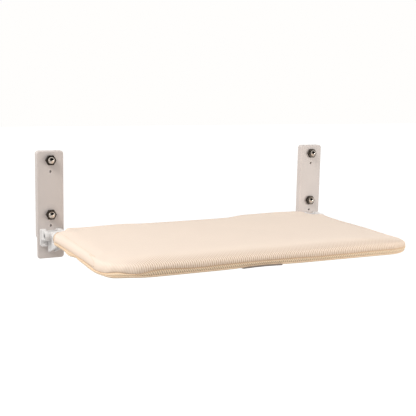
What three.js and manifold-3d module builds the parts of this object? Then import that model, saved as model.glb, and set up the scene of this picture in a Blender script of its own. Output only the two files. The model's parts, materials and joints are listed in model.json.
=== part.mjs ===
import * as THREE from 'three';
import { mergeVertices } from 'three/addons/utils/BufferGeometryUtils.js';
import Module from 'manifold-3d';

// Fold-up cat hammock for a wall: two moulded wall plates carry a padded shelf on hinges.
// Millimetres, +Z up. The wall is the plane y = 0 and the shelf reaches out along -Y.
// The origin lies on the wall, midway between the plates, level with the hinge axis.
// "out" below means the distance from the wall, and "side" is -1 on the left, 1 on the right.

// Driving dimensions
const SHELF_LENGTH = 536;
const SHELF_REACH = 326;
const SHELF_REAR_OUT = 18;
const SHELF_THICKNESS = 20;
const COVER_OVERHANG = 10.5;
const PLATE_WIDTH = 45.5;
const PLATE_DEPTH = 12;
const PLATE_TOP = 139;
const PLATE_BOTTOM = -43;
const NUT_LOW = 32;
const NUT_PITCH = 91.5;
const PIVOT_FROM_PLATE = 24;
const HINGE_OFFSET = 0.5;
const GAP = 0.3;
const OVERRUN = 1;

const PIVOT_OUT = PLATE_DEPTH + PIVOT_FROM_PLATE;
const HALF_SHELF = SHELF_LENGTH / 2;
const PLATE_PITCH = SHELF_LENGTH - 2 * COVER_OVERHANG;
const EDGE_TOP = SHELF_THICKNESS / 2;
const NUT_HEIGHTS = [NUT_LOW, NUT_LOW + NUT_PITCH];

// Materials
const finish = (color, roughness, metalness) => ({ color, roughness, metalness });
const PLATE_FINISH = finish(0xd8cec9, 0.55, 0);
const HINGE_FINISH = finish(0xebe4df, 0.35, 0);
const CHROME_FINISH = finish(0xc9c5c0, 0.12, 1);
const STEEL_FINISH = finish(0x9a9a98, 0.4, 1);
const TUBE_FINISH = finish(0xefece8, 0.4, 0.1);
const MESH_FINISH = finish(0xf6e3cf, 0.95, 0);
const BAND_FINISH = finish(0xe2c3a4, 0.95, 0);
const FOAM_FINISH = finish(0xf3efe0, 1, 0);
const TAB_FINISH = finish(0x8c7c72, 0.9, 0);
const ZIP_FINISH = finish(0xe0cbb4, 0.6, 0);

// Solid helpers
const wasm = await Module();
wasm.setup();

function toSolid(geometry) {
  const bare = geometry.clone();
  bare.deleteAttribute('normal');
  bare.deleteAttribute('uv');
  const merged = mergeVertices(bare);
  const vertProperties = new Float32Array(merged.attributes.position.array);
  const triVerts = new Uint32Array(merged.index.array);
  return new wasm.Manifold(new wasm.Mesh({ numProp: 3, vertProperties, triVerts }));
}

function toGeometry(solid) {
  const mesh = solid.getMesh();
  const geometry = new THREE.BufferGeometry();
  geometry.setAttribute('position', new THREE.BufferAttribute(mesh.vertProperties, 3));
  geometry.setIndex(new THREE.BufferAttribute(mesh.triVerts, 1));
  geometry.computeVertexNormals();
  return geometry;
}

function cut(geometry, ...tools) {
  return toGeometry(tools.reduce((rest, tool) => rest.subtract(toSolid(tool)), toSolid(geometry)));
}

function join(geometry, ...others) {
  return toGeometry(others.reduce((whole, other) => whole.add(toSolid(other)), toSolid(geometry)));
}

function common(geometry, other) {
  return toGeometry(toSolid(geometry).intersect(toSolid(other)));
}

function box(x0, x1, out0, out1, z0, z1) {
  const geometry = new THREE.BoxGeometry(x1 - x0, out1 - out0, z1 - z0);
  return geometry.translate((x0 + x1) / 2, -(out0 + out1) / 2, (z0 + z1) / 2);
}

function rodOut(radius, out0, out1, x, z, sides) {
  const geometry = new THREE.CylinderGeometry(radius, radius, out1 - out0, sides);
  return geometry.translate(x, -(out0 + out1) / 2, z);
}

function rodAcross(radius, x0, x1, out, z, sides) {
  const geometry = new THREE.CylinderGeometry(radius, radius, x1 - x0, sides);
  geometry.rotateZ(Math.PI / 2);
  return geometry.translate((x0 + x1) / 2, -out, z);
}

const X_AXIS = new THREE.Vector3(1, 0, 0);
const Z_AXIS = new THREE.Vector3(0, 0, 1);
const OUT_AXIS = new THREE.Vector3(0, -1, 0);
const FACE_ON = new THREE.Matrix4().makeBasis(X_AXIS, Z_AXIS, OUT_AXIS);
const SIDE_ON = new THREE.Matrix4().makeBasis(OUT_AXIS, Z_AXIS, X_AXIS.clone().negate());
const CURVE_SEGMENTS = 5;

function prism(shape, depth, bevel, bevelSegments) {
  return new THREE.ExtrudeGeometry(shape, {
    depth: depth - 2 * bevel,
    bevelEnabled: bevel > 0,
    bevelThickness: bevel,
    bevelSize: bevel,
    bevelOffset: -bevel,
    bevelSegments,
    curveSegments: CURVE_SEGMENTS,
  }).translate(0, 0, bevel);
}

// A shape drawn in x and z, standing out from the wall between out0 and out1.
function facePrism(shape, out0, out1, bevel = 0, bevelSegments = 1) {
  return prism(shape, out1 - out0, bevel, bevelSegments).applyMatrix4(FACE_ON).translate(0, -out0, 0);
}

// A shape drawn in out and z, between x0 and x1.
function sidePrism(shape, x0, x1, bevel = 0, bevelSegments = 1) {
  return prism(shape, x1 - x0, bevel, bevelSegments).applyMatrix4(SIDE_ON).translate(x1, 0, 0);
}

// A turned piece about +Z, from a list of [radius, height] that starts and ends on the axis.
function turned(profile, sides) {
  const points = profile.map(([radius, height]) => new THREE.Vector2(radius, height));
  return new THREE.LatheGeometry(points, sides).rotateX(Math.PI / 2);
}

function roundedRect(width, height, radius, x = 0, y = 0) {
  const left = x - width / 2;
  const right = x + width / 2;
  const low = y - height / 2;
  const high = y + height / 2;
  const shape = new THREE.Shape();
  shape.moveTo(left + radius, low);
  shape.absarc(right - radius, low + radius, radius, -Math.PI / 2, 0);
  shape.absarc(right - radius, high - radius, radius, 0, Math.PI / 2);
  shape.absarc(left + radius, high - radius, radius, Math.PI / 2, Math.PI);
  shape.absarc(left + radius, low + radius, radius, Math.PI, Math.PI * 1.5);
  return shape;
}

function polygon(points) {
  return new THREE.Shape(points.map(([x, y]) => new THREE.Vector2(x, y)));
}

// Skin between rings of equally many points; "closed" joins the last ring to the first,
// otherwise both end rings are filled to their middles.
function loft(rings, closed) {
  const count = rings[0].length;
  const points = rings.flat();
  const faces = [];
  const spans = closed ? rings.length : rings.length - 1;
  for (let i = 0; i < spans; i += 1) {
    const here = i * count;
    const there = ((i + 1) % rings.length) * count;
    for (let j = 0; j < count; j += 1) {
      const next = (j + 1) % count;
      faces.push(here + j, here + next, there + next);
      faces.push(here + j, there + next, there + j);
    }
  }
  if (!closed) {
    fillEnd(points, faces, rings[0], 0, true);
    fillEnd(points, faces, rings[rings.length - 1], (rings.length - 1) * count, false);
  }
  const geometry = new THREE.BufferGeometry().setFromPoints(points);
  geometry.setIndex(faces);
  geometry.computeVertexNormals();
  return geometry;
}

function fillEnd(points, faces, ring, start, first) {
  const middle = ring.reduce((sum, point) => sum.add(point), new THREE.Vector3());
  middle.divideScalar(ring.length);
  const centre = points.push(middle) - 1;
  for (let j = 0; j < ring.length; j += 1) {
    const here = start + j;
    const next = start + ((j + 1) % ring.length);
    faces.push(...(first ? [centre, next, here] : [centre, here, next]));
  }
}

function piece(parent, name, geometry, look) {
  const mesh = new THREE.Mesh(geometry, new THREE.MeshStandardMaterial(look));
  mesh.name = name;
  parent.add(mesh);
  return mesh;
}

// Hinge layout across the plate, measured from the hinge's own middle
const KNUCKLE_WIDTH = 16.6;
const WASHER_THICKNESS = 2.1;
const EAR_THICKNESS = 5.6;
const EAR_BOSS_HEIGHT = 0.6;
const EAR_NOSE_RADIUS = 8;
const EAR_INNER = KNUCKLE_WIDTH / 2 + GAP + WASHER_THICKNESS + GAP;
const EAR_OUTER = EAR_INNER + EAR_THICKNESS;
const EAR_FACE = EAR_OUTER + EAR_BOSS_HEIGHT;
const EAR_MIDDLE = (EAR_INNER + EAR_OUTER) / 2;
const PIVOT_RADIUS = 3;
const PIVOT_BORE = PIVOT_RADIUS + GAP;

// Bracket screws, two into each ear from behind the plate
const SCREW_RADIUS = 1.7;
const SCREW_HEAD_RADIUS = 3.4;
const SCREW_HEAD_HEIGHT = 2.2;
const SCREW_LENGTH = 14;
const SCREW_HIGH = 2.5;
const SCREW_LOW = -6.5;
const SCREW_HOLE = SCREW_RADIUS + GAP;
const SCREW_SINK = SCREW_HEAD_RADIUS + GAP;
const SCREW_SIDES = 8;

// Wall plate: a moulded tray, open at the back, with a thin tongue behind the hinge
const PLATE_CORNER = 5;
const PLATE_EDGE = 1.8;
const PLATE_EDGE_SEGMENTS = 2;
const PLATE_SKIN = 2.5;
const PLATE_WALL = 2.5;
const TONGUE_TOP = -5;
const TONGUE_THICK = 5;
const TONGUE_THIN = 3.2;
const RIB = 1.8;
const CROSS_RIBS = 4;
const PLATE_FLOOR = PLATE_DEPTH - PLATE_SKIN;
const PLATE_MIDDLE = (PLATE_TOP + PLATE_BOTTOM) / 2;
const PLATE_HEIGHT = PLATE_TOP - PLATE_BOTTOM;
const PILOT_RADIUS = 2.1;
const PILOT_DROP = 19;
const PILOT_BOSS = 4.2;
const PILOT_SIDES = 12;
const PILOT_HEIGHTS = NUT_HEIGHTS.map((height) => height - PILOT_DROP);
const SCREW_SEATS = [
  { level: 'upper', height: SCREW_HIGH, seat: PLATE_FLOOR },
  { level: 'lower', height: SCREW_LOW, seat: PLATE_DEPTH - TONGUE_THICK },
];

// Backing strap, plate bolts and dome nuts
const STRAP_WIDTH = 22;
const STRAP_THICKNESS = 2;
const STRAP_BACK = 4.3;
const STRAP_FRONT = STRAP_BACK + STRAP_THICKNESS;
const STRAP_SEAT = STRAP_FRONT + GAP;
const STRAP_END = 12;
const STRAP_CORNER = 4;
const STRAP_LOW = NUT_LOW - STRAP_END;
const STRAP_HIGH = NUT_LOW + NUT_PITCH + STRAP_END;
const BOLT_RADIUS = 4.7;
const BOLT_HOLE = BOLT_RADIUS + GAP;
const BOLT_HEAD_RADIUS = 8.5;
const BOLT_HEAD_HEIGHT = 3;
const BOLT_HEAD_EDGE = 0.8;
const BOLT_SIDES = 16;
const BOLT_BOSS = 8.2;
const NUT_ACROSS_FLATS = 16;
const NUT_HEX_HEIGHT = 5.6;
const NUT_HEIGHT = 11.6;
const NUT_DOME_RADIUS = 6.1;
const NUT_DOME_SHOULDER = 7.2;
const NUT_CHAMFER = 1.1;
const NUT_BORE_DEPTH = 8;
const NUT_DOME_STEPS = 4;
const NUT_SEAT = PLATE_DEPTH + GAP;

function plateRibs() {
  const insideLow = TONGUE_TOP + PLATE_WALL;
  const insideHigh = PLATE_TOP - PLATE_WALL;
  const inside = PLATE_WIDTH / 2 - PLATE_WALL;
  const channel = STRAP_WIDTH / 2 + GAP;
  const ribs = [];
  for (const side of [-1, 1]) {
    const near = side * channel;
    const far = side * (channel + RIB);
    ribs.push(box(Math.min(near, far), Math.max(near, far), 0, PLATE_FLOOR + GAP, insideLow, insideHigh));
  }
  for (let i = 1; i <= CROSS_RIBS; i += 1) {
    const height = insideLow + ((insideHigh - insideLow) * i) / (CROSS_RIBS + 1);
    ribs.push(box(-inside, inside, 0, PLATE_FLOOR + GAP, height - RIB / 2, height + RIB / 2));
  }
  return ribs;
}

function wallPlate(side) {
  const outline = roundedRect(PLATE_WIDTH, PLATE_HEIGHT, PLATE_CORNER, 0, PLATE_MIDDLE);
  const block = facePrism(outline, -OVERRUN - PLATE_EDGE, PLATE_DEPTH, PLATE_EDGE, PLATE_EDGE_SEGMENTS);
  const half = PLATE_WIDTH / 2;
  const behind = box(-half - OVERRUN, half + OVERRUN, -PLATE_DEPTH, 0,
    PLATE_BOTTOM - OVERRUN, PLATE_TOP + OVERRUN);
  const relief = polygon([
    [-OVERRUN, TONGUE_TOP],
    [PLATE_DEPTH - TONGUE_THICK, TONGUE_TOP - PLATE_WALL],
    [PLATE_DEPTH - TONGUE_THIN, PLATE_BOTTOM - OVERRUN],
    [-OVERRUN, PLATE_BOTTOM - OVERRUN],
  ]);
  const reliefCut = sidePrism(relief, -half - OVERRUN, half + OVERRUN);
  const insideLow = TONGUE_TOP + PLATE_WALL;
  const insideHeight = PLATE_TOP - PLATE_WALL - insideLow;
  const cavity = roundedRect(PLATE_WIDTH - 2 * PLATE_WALL, insideHeight, PLATE_CORNER - PLATE_WALL,
    0, insideLow + insideHeight / 2);
  const shell = cut(block, behind, reliefCut, facePrism(cavity, -OVERRUN, PLATE_FLOOR));
  const boltBosses = NUT_HEIGHTS.map((z) => rodOut(BOLT_BOSS, 0, PLATE_FLOOR + GAP, 0, z, BOLT_SIDES));
  const ribbed = join(shell, ...plateRibs(), ...boltBosses);
  const channel = STRAP_WIDTH / 2 + GAP;
  const seated = cut(ribbed, box(-channel, channel, -OVERRUN, STRAP_SEAT,
    insideLow, PLATE_TOP - PLATE_WALL));
  const pilotBosses = PILOT_HEIGHTS.map((z) => rodOut(PILOT_BOSS, 0, PLATE_FLOOR + GAP, 0, z, PILOT_SIDES));
  const bossed = join(seated, ...pilotBosses);
  const through = PLATE_DEPTH + OVERRUN;
  const holes = [
    ...NUT_HEIGHTS.map((z) => rodOut(BOLT_HOLE, -OVERRUN, through, 0, z, BOLT_SIDES)),
    ...PILOT_HEIGHTS.map((z) => rodOut(PILOT_RADIUS, -OVERRUN, through, 0, z, PILOT_SIDES)),
  ];
  for (const ear of [-1, 1]) {
    const x = side * HINGE_OFFSET + ear * EAR_MIDDLE;
    for (const { height, seat } of SCREW_SEATS) {
      holes.push(rodOut(SCREW_HOLE, -OVERRUN, through, x, height, SCREW_SIDES));
      holes.push(rodOut(SCREW_SINK, -OVERRUN, seat, x, height, SCREW_SIDES));
    }
  }
  return cut(bossed, ...holes);
}

function backStrap() {
  const height = STRAP_HIGH - STRAP_LOW;
  const outline = roundedRect(STRAP_WIDTH, height, STRAP_CORNER, 0, STRAP_LOW + height / 2);
  const strap = facePrism(outline, STRAP_BACK, STRAP_FRONT);
  const back = STRAP_BACK - OVERRUN;
  const front = STRAP_FRONT + OVERRUN;
  const holes = NUT_HEIGHTS.map((z) => rodOut(BOLT_HOLE, back, front, 0, z, BOLT_SIDES));
  holes.push(rodOut(PILOT_BOSS + GAP, back, front, 0, PILOT_HEIGHTS[1], PILOT_SIDES));
  return cut(strap, ...holes);
}

// Head at the back, shank pointing out of the wall; height 0 is the face under the head.
function plateBolt() {
  const reach = NUT_SEAT + NUT_BORE_DEPTH - GAP - (STRAP_BACK - GAP);
  return turned([
    [0, -BOLT_HEAD_HEIGHT],
    [BOLT_HEAD_RADIUS - BOLT_HEAD_EDGE, -BOLT_HEAD_HEIGHT],
    [BOLT_HEAD_RADIUS, BOLT_HEAD_EDGE - BOLT_HEAD_HEIGHT],
    [BOLT_HEAD_RADIUS, 0],
    [BOLT_RADIUS, 0],
    [BOLT_RADIUS, reach - BOLT_HEAD_EDGE],
    [BOLT_RADIUS - BOLT_HEAD_EDGE, reach],
    [0, reach],
  ], BOLT_SIDES);
}

function domeNut() {
  const corner = NUT_ACROSS_FLATS / Math.sqrt(3);
  const hex = new THREE.CylinderGeometry(corner, corner, NUT_HEX_HEIGHT, 6).rotateX(Math.PI / 2);
  hex.rotateZ(Math.PI / 6).translate(0, 0, NUT_HEX_HEIGHT / 2);
  const flat = NUT_ACROSS_FLATS / 2;
  const chamfered = turned([
    [0, 0],
    [flat, 0],
    [corner, NUT_CHAMFER / 2],
    [corner, NUT_HEX_HEIGHT - NUT_CHAMFER],
    [NUT_DOME_SHOULDER, NUT_HEX_HEIGHT],
    [0, NUT_HEX_HEIGHT],
  ], BOLT_SIDES);
  const dome = [[0, NUT_HEX_HEIGHT / 2], [NUT_DOME_RADIUS, NUT_HEX_HEIGHT / 2]];
  const rise = NUT_HEIGHT - NUT_HEX_HEIGHT;
  for (let i = 0; i < NUT_DOME_STEPS; i += 1) {
    const angle = (i / NUT_DOME_STEPS) * (Math.PI / 2);
    dome.push([NUT_DOME_RADIUS * Math.cos(angle), NUT_HEX_HEIGHT + rise * Math.sin(angle)]);
  }
  dome.push([0, NUT_HEIGHT]);
  const bore = new THREE.CylinderGeometry(BOLT_HOLE, BOLT_HOLE, NUT_BORE_DEPTH + OVERRUN, BOLT_SIDES);
  bore.rotateX(Math.PI / 2).translate(0, 0, (NUT_BORE_DEPTH - OVERRUN) / 2);
  return cut(join(common(hex, chamfered), turned(dome, BOLT_SIDES)), bore);
}

// Hinge bracket: base screwed to the plate, two ears with round noses about the pivot
const BASE_OUT = PLATE_DEPTH + GAP;
const BASE_THICKNESS = 4;
const BASE_FRONT = BASE_OUT + BASE_THICKNESS;
const BASE_WIDTH = 39;
const BASE_TOP = 8.5;
const BASE_BOTTOM = -20.5;
const BASE_CORNER = 3;
const MOULD_EDGE = 0.7;
const PIVOT_HEAD_RADIUS = 4.5;
const PIVOT_HEAD_HEIGHT = 2.8;
const PIVOT_SINK = PIVOT_HEAD_HEIGHT + GAP;
const PIVOT_NUT_ACROSS_FLATS = 10;
const PIVOT_NUT_HEIGHT = 2.8;
const EAR_BOSS_RADIUS = 7.4;
const EAR_ROOT = -9.5;
const EAR_FILLET = 3;
const LEDGE_INNER = 8.5;
const LEDGE_THICKNESS = 2.6;
const LEDGE_REACH = 3.6;
const PIVOT_SIDES = 16;

// Ear: a stubby arm with its nose about the pivot, blended into the base by a fillet below.
function earShape() {
  const shape = new THREE.Shape();
  shape.moveTo(BASE_OUT, EAR_ROOT - EAR_FILLET);
  shape.lineTo(BASE_FRONT, EAR_ROOT - EAR_FILLET);
  shape.absarc(BASE_FRONT + EAR_FILLET, EAR_ROOT - EAR_FILLET, EAR_FILLET, Math.PI, Math.PI / 2, true);
  shape.absarc(PIVOT_OUT, 0, EAR_NOSE_RADIUS, -Math.PI / 2, Math.PI / 2);
  shape.lineTo(BASE_OUT, BASE_TOP);
  return shape;
}

function hingeBracket(side) {
  const middle = side * HINGE_OFFSET;
  const height = BASE_TOP - BASE_BOTTOM;
  const outline = roundedRect(BASE_WIDTH, height, BASE_CORNER, 0, BASE_BOTTOM + height / 2);
  const parts = [];
  for (const ear of [-1, 1]) {
    const inner = middle + ear * EAR_INNER;
    const outer = middle + ear * EAR_OUTER;
    const face = middle + ear * EAR_FACE;
    parts.push(sidePrism(earShape(), Math.min(inner, outer), Math.max(inner, outer), MOULD_EDGE));
    parts.push(rodAcross(EAR_BOSS_RADIUS, Math.min(inner, face), Math.max(inner, face),
      PIVOT_OUT, 0, PIVOT_SIDES));
    const near = middle + ear * LEDGE_INNER;
    const far = middle + ear * (BASE_WIDTH / 2 - BASE_CORNER);
    parts.push(box(Math.min(near, far), Math.max(near, far), BASE_FRONT - LEDGE_REACH / 2,
      BASE_FRONT + LEDGE_REACH, BASE_BOTTOM, BASE_BOTTOM + LEDGE_THICKNESS));
  }
  const whole = join(facePrism(outline, BASE_OUT, BASE_FRONT, MOULD_EDGE), ...parts);
  const headFace = middle + side * EAR_FACE;
  const headSeat = headFace - side * PIVOT_SINK;
  const headEnd = headFace + side * OVERRUN;
  const nutFace = middle - side * EAR_FACE;
  const tools = [
    rodAcross(PIVOT_BORE, middle - EAR_FACE - OVERRUN, middle + EAR_FACE + OVERRUN,
      PIVOT_OUT, 0, PIVOT_SIDES),
    rodAcross(PIVOT_HEAD_RADIUS + GAP, Math.min(headSeat, headEnd), Math.max(headSeat, headEnd),
      PIVOT_OUT, 0, PIVOT_SIDES),
    nutPocket(nutFace, side),
  ];
  const depth = SCREW_LENGTH + OVERRUN;
  for (const ear of [-1, 1]) {
    for (const { height: z, seat } of SCREW_SEATS) {
      tools.push(rodOut(SCREW_HOLE, 0, seat + depth, middle + ear * EAR_MIDDLE, z, SCREW_SIDES));
    }
  }
  return cut(whole, ...tools);
}

function nutPocket(face, side) {
  const corner = PIVOT_NUT_ACROSS_FLATS / Math.sqrt(3) + GAP;
  const seat = face + side * (PIVOT_NUT_HEIGHT + GAP);
  const end = face - side * OVERRUN;
  return rodAcross(corner, Math.min(seat, end), Math.max(seat, end), PIVOT_OUT, 0, 6);
}

// Height 0 is the face under the head; the shank may end in a point.
function panScrew(length, point) {
  return turned([
    [0, -SCREW_HEAD_HEIGHT],
    [SCREW_HEAD_RADIUS / 2, -SCREW_HEAD_HEIGHT],
    [SCREW_HEAD_RADIUS, -SCREW_HEAD_HEIGHT / 2],
    [SCREW_HEAD_RADIUS, 0],
    [SCREW_RADIUS, 0],
    [SCREW_RADIUS, length - point],
    [0, length],
  ], SCREW_SIDES);
}

function bracketScrew() {
  return panScrew(SCREW_LENGTH, 2 * SCREW_RADIUS);
}

function pivotBolt() {
  const reach = 2 * EAR_FACE - PIVOT_SINK - GAP;
  return turned([
    [0, -reach],
    [PIVOT_RADIUS, -reach],
    [PIVOT_RADIUS, 0],
    [PIVOT_HEAD_RADIUS, 0],
    [PIVOT_HEAD_RADIUS, PIVOT_HEAD_HEIGHT / 2],
    [PIVOT_HEAD_RADIUS - MOULD_EDGE, PIVOT_HEAD_HEIGHT - GAP],
    [PIVOT_RADIUS, PIVOT_HEAD_HEIGHT],
    [PIVOT_RADIUS / 2, PIVOT_HEAD_HEIGHT],
    [PIVOT_RADIUS / 2, PIVOT_HEAD_HEIGHT / 2],
    [0, PIVOT_HEAD_HEIGHT / 2],
  ], PIVOT_SIDES);
}

function pivotNut() {
  const corner = PIVOT_NUT_ACROSS_FLATS / Math.sqrt(3);
  const hex = new THREE.CylinderGeometry(corner, corner, PIVOT_NUT_HEIGHT, 6);
  const bore = new THREE.CylinderGeometry(PIVOT_BORE, PIVOT_BORE, PIVOT_NUT_HEIGHT + 2 * OVERRUN, PIVOT_SIDES);
  return cut(hex, bore).rotateZ(Math.PI / 2);
}

const WASHER_RADIUS = 7.2;

function washer() {
  const inner = -WASHER_THICKNESS / 2;
  const outer = WASHER_THICKNESS / 2;
  return turned([
    [PIVOT_BORE, inner],
    [WASHER_RADIUS, inner],
    [WASHER_RADIUS, outer],
    [PIVOT_BORE, outer],
    [PIVOT_BORE, inner],
  ], PIVOT_SIDES);
}

// Frame tube sizes, used by the knuckle's spigot and by the frame
const TUBE_RADIUS = 6;
const TUBE_WALL = 1.2;
const TUBE_BORE = TUBE_RADIUS - TUBE_WALL;
const RAIL_X = PLATE_PITCH / 2 + HINGE_OFFSET;

// Knuckle: barrel on the pivot, arm to the tube, heel and gusset that hold the shelf level
const BARREL_RADIUS = EAR_NOSE_RADIUS - GAP;
const ARM_WIDTH = 13;
const ARM_TOP = 6.4;
const SHOULDER_OUT = 52;
const COLLAR_RADIUS = 7.4;
const COLLAR_LENGTH = 7;
const ARM_END = SHOULDER_OUT - COLLAR_LENGTH;
const SPIGOT_RADIUS = TUBE_BORE - GAP;
const SPIGOT_LENGTH = 26;
const HEEL_OUT = BASE_FRONT + GAP;
const HEEL_TOP = -11;
const HEEL_BOTTOM = -27;
const HEEL_TOE_OUT = 21;
const HEEL_TOE = -30.4;
const SADDLE_OUT = 66;
const SADDLE_TOP = -EDGE_TOP - 2 * GAP;
const SADDLE_BOTTOM = -14;
const SADDLE_THICKNESS = 2.8;
const CHEEK = 2.6;
const HEEL_WALL = 3;
const KNUCKLE_SIDES = 16;
const ARM_SCREW_OUT = 12;
const ARM_SCREW_LENGTH = 8.5;

function knuckleShape() {
  return polygon([
    [HEEL_OUT, HEEL_TOP],
    [HEEL_OUT, HEEL_BOTTOM],
    [HEEL_TOE_OUT, HEEL_TOE],
    [SADDLE_OUT, SADDLE_BOTTOM],
    [SADDLE_OUT, SADDLE_TOP],
    [ARM_END, SADDLE_TOP],
    [ARM_END, ARM_TOP],
    [PIVOT_OUT, ARM_TOP],
    [PIVOT_OUT - BARREL_RADIUS / 2, ARM_TOP / 2],
  ]);
}

// Space between the two cheeks of the gusset, open below and in front. The wall behind it bears
// on the bracket's base; under the base the cheeks hang free.
function pocketShape() {
  const top = SADDLE_TOP - SADDLE_THICKNESS;
  return polygon([
    [HEEL_OUT + HEEL_WALL, top],
    [HEEL_OUT + HEEL_WALL, BASE_BOTTOM],
    [HEEL_OUT - OVERRUN, BASE_BOTTOM],
    [HEEL_OUT - OVERRUN, HEEL_TOE - OVERRUN],
    [SADDLE_OUT + OVERRUN, HEEL_TOE - OVERRUN],
    [SADDLE_OUT + OVERRUN, top],
  ]);
}

function knuckle(side) {
  const middle = side * RAIL_X;
  const low = middle - ARM_WIDTH / 2;
  const high = middle + ARM_WIDTH / 2;
  const body = join(
    sidePrism(knuckleShape(), low, high, MOULD_EDGE),
    rodAcross(BARREL_RADIUS, middle - KNUCKLE_WIDTH / 2, middle + KNUCKLE_WIDTH / 2,
      PIVOT_OUT, 0, KNUCKLE_SIDES),
    rodOut(COLLAR_RADIUS, ARM_END - OVERRUN, SHOULDER_OUT, middle, 0, KNUCKLE_SIDES),
    rodOut(SPIGOT_RADIUS, ARM_END, SHOULDER_OUT + SPIGOT_LENGTH, middle, 0, KNUCKLE_SIDES),
  );
  const drilled = SHOULDER_OUT + ARM_SCREW_OUT;
  return cut(
    body,
    sidePrism(pocketShape(), low + CHEEK, high - CHEEK),
    rodAcross(PIVOT_BORE, middle - KNUCKLE_WIDTH, middle + KNUCKLE_WIDTH, PIVOT_OUT, 0, PIVOT_SIDES),
    rodAcross(SCREW_HOLE, middle - TUBE_RADIUS, middle + TUBE_RADIUS, drilled, 0, SCREW_SIDES),
  );
}

// Arm screw: from the inner side through the tube wall into the spigot
function armScrew() {
  return panScrew(ARM_SCREW_LENGTH, 0);
}

// Frame: rail round the sides and front, bow along the rear, brace in the middle
const FABRIC = 2;
const DRAW_IN = 1.5;
const RAIL_CLEAR = 0.5;
const RAIL_FRONT_OUT = SHELF_REACH - DRAW_IN - FABRIC - RAIL_CLEAR - TUBE_RADIUS;
const RAIL_START = SHOULDER_OUT + GAP;
const RAIL_BEND = 48;
const BEND_STEPS = 6;
const TUBE_SIDES = 12;
const BOW_RADIUS = 5;
const BOW_WALL = 1;
const BOW_BEND = 62;
const BOW_REAR_OUT = SHELF_REAR_OUT + DRAW_IN + FABRIC + RAIL_CLEAR + BOW_RADIUS;
const BOW_X = RAIL_X - TUBE_RADIUS - GAP - BOW_RADIUS;
const BOW_END_OUT = 150;
const BOW_SIDES = 10;

// Places along a flat U: two straight legs and a cross run, joined by quarter bends.
// The legs run from "start" to "cross", which may lie nearer the wall than "start".
function uPath(x, start, cross, bend) {
  const way = Math.sign(cross - start);
  const stations = [{ x: -x, out: start, turn: 0 }];
  for (let i = 0; i <= BEND_STEPS; i += 1) {
    const turn = (i / BEND_STEPS) * (Math.PI / 2);
    const sideways = bend * (1 - Math.cos(turn));
    stations.push({ x: sideways - x, out: cross - way * bend * (1 - Math.sin(turn)), turn });
  }
  const mirrored = stations.map((place) => ({ x: -place.x, out: place.out, turn: Math.PI - place.turn }));
  return stations.concat(mirrored.reverse());
}

function tubeRing(place, way, radius, sides) {
  const across = new THREE.Vector3(Math.cos(place.turn), way * Math.sin(place.turn), 0);
  const ring = [];
  for (let j = 0; j < sides; j += 1) {
    const angle = (j / sides) * 2 * Math.PI;
    const point = new THREE.Vector3(place.x, -place.out, radius * Math.sin(angle));
    ring.push(point.addScaledVector(across, radius * Math.cos(angle)));
  }
  return ring;
}

function bentTube(x, start, cross, bend, radius, wall, sides) {
  const way = Math.sign(cross - start);
  const path = uPath(x, start, cross, bend);
  const skin = path.map((place) => tubeRing(place, way, radius, sides));
  const bore = path.map((place) => tubeRing(place, way, radius - wall, sides)).reverse();
  return loft([...skin, ...bore], true);
}

function frameRail() {
  const rail = bentTube(RAIL_X, RAIL_START, RAIL_FRONT_OUT, RAIL_BEND, TUBE_RADIUS, TUBE_WALL, TUBE_SIDES);
  const drilled = SHOULDER_OUT + ARM_SCREW_OUT;
  const holes = [-1, 1].map((side) => {
    const near = side * (RAIL_X - TUBE_RADIUS - OVERRUN);
    const middle = side * RAIL_X;
    return rodAcross(SCREW_HOLE, Math.min(near, middle), Math.max(near, middle), drilled, 0, SCREW_SIDES);
  });
  return cut(outward(rail), ...holes);
}

function rearBow() {
  return outward(bentTube(BOW_X, BOW_END_OUT, BOW_REAR_OUT, BOW_BEND, BOW_RADIUS, BOW_WALL, BOW_SIDES));
}

function centreBrace() {
  const near = BOW_REAR_OUT + BOW_RADIUS + GAP;
  const far = RAIL_FRONT_OUT - TUBE_RADIUS - GAP;
  const length = far - near;
  return turned([
    [BOW_RADIUS - BOW_WALL, -length / 2],
    [BOW_RADIUS, -length / 2],
    [BOW_RADIUS, length / 2],
    [BOW_RADIUS - BOW_WALL, length / 2],
    [BOW_RADIUS - BOW_WALL, -length / 2],
  ], BOW_SIDES).rotateX(Math.PI / 2).translate(0, -(near + far) / 2, 0);
}

// Turns a skin right side out where its rings were given the other way round.
function outward(geometry) {
  const index = geometry.index;
  const [a, b, c] = [new THREE.Vector3(), new THREE.Vector3(), new THREE.Vector3()];
  let volume = 0;
  for (let i = 0; i < index.count; i += 3) {
    a.fromBufferAttribute(geometry.attributes.position, index.getX(i));
    b.fromBufferAttribute(geometry.attributes.position, index.getX(i + 1));
    c.fromBufferAttribute(geometry.attributes.position, index.getX(i + 2));
    volume += a.dot(b.cross(c));
  }
  if (volume < 0) {
    for (let i = 0; i < index.count; i += 3) {
      const swap = index.getX(i);
      index.setX(i, index.getX(i + 1));
      index.setX(i + 1, swap);
    }
  }
  return geometry;
}

// Cover outline in plan: rounded front corners, rear corners notched round the hinges
const FRONT_CORNER = 58;
const REAR_CORNER = 12;
const NOTCH_CLEAR = 1.6;
const NOTCH_CORNER = 5;
const HINGE_CORNER = 13;
const NOTCH_OUT = PIVOT_OUT + EAR_NOSE_RADIUS + NOTCH_CLEAR;
const NOTCH_X = RAIL_X - EAR_FACE - NOTCH_CLEAR;
const FRONT_STEPS = 7;
const REAR_STEPS = 4;
const NOTCH_STEPS = 3;
const LONG_SIDE_STEPS = 4;
const SHORT_SIDE_STEPS = 3;

// Points on an arc, with its start and end given in quarter turns.
function arcPoints(x, out, radius, from, to, steps) {
  const points = [];
  for (let i = 0; i <= steps; i += 1) {
    const angle = (from + ((to - from) * i) / steps) * (Math.PI / 2);
    points.push(new THREE.Vector2(x + radius * Math.cos(angle), radius * Math.sin(angle) - out));
  }
  return points;
}

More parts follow.
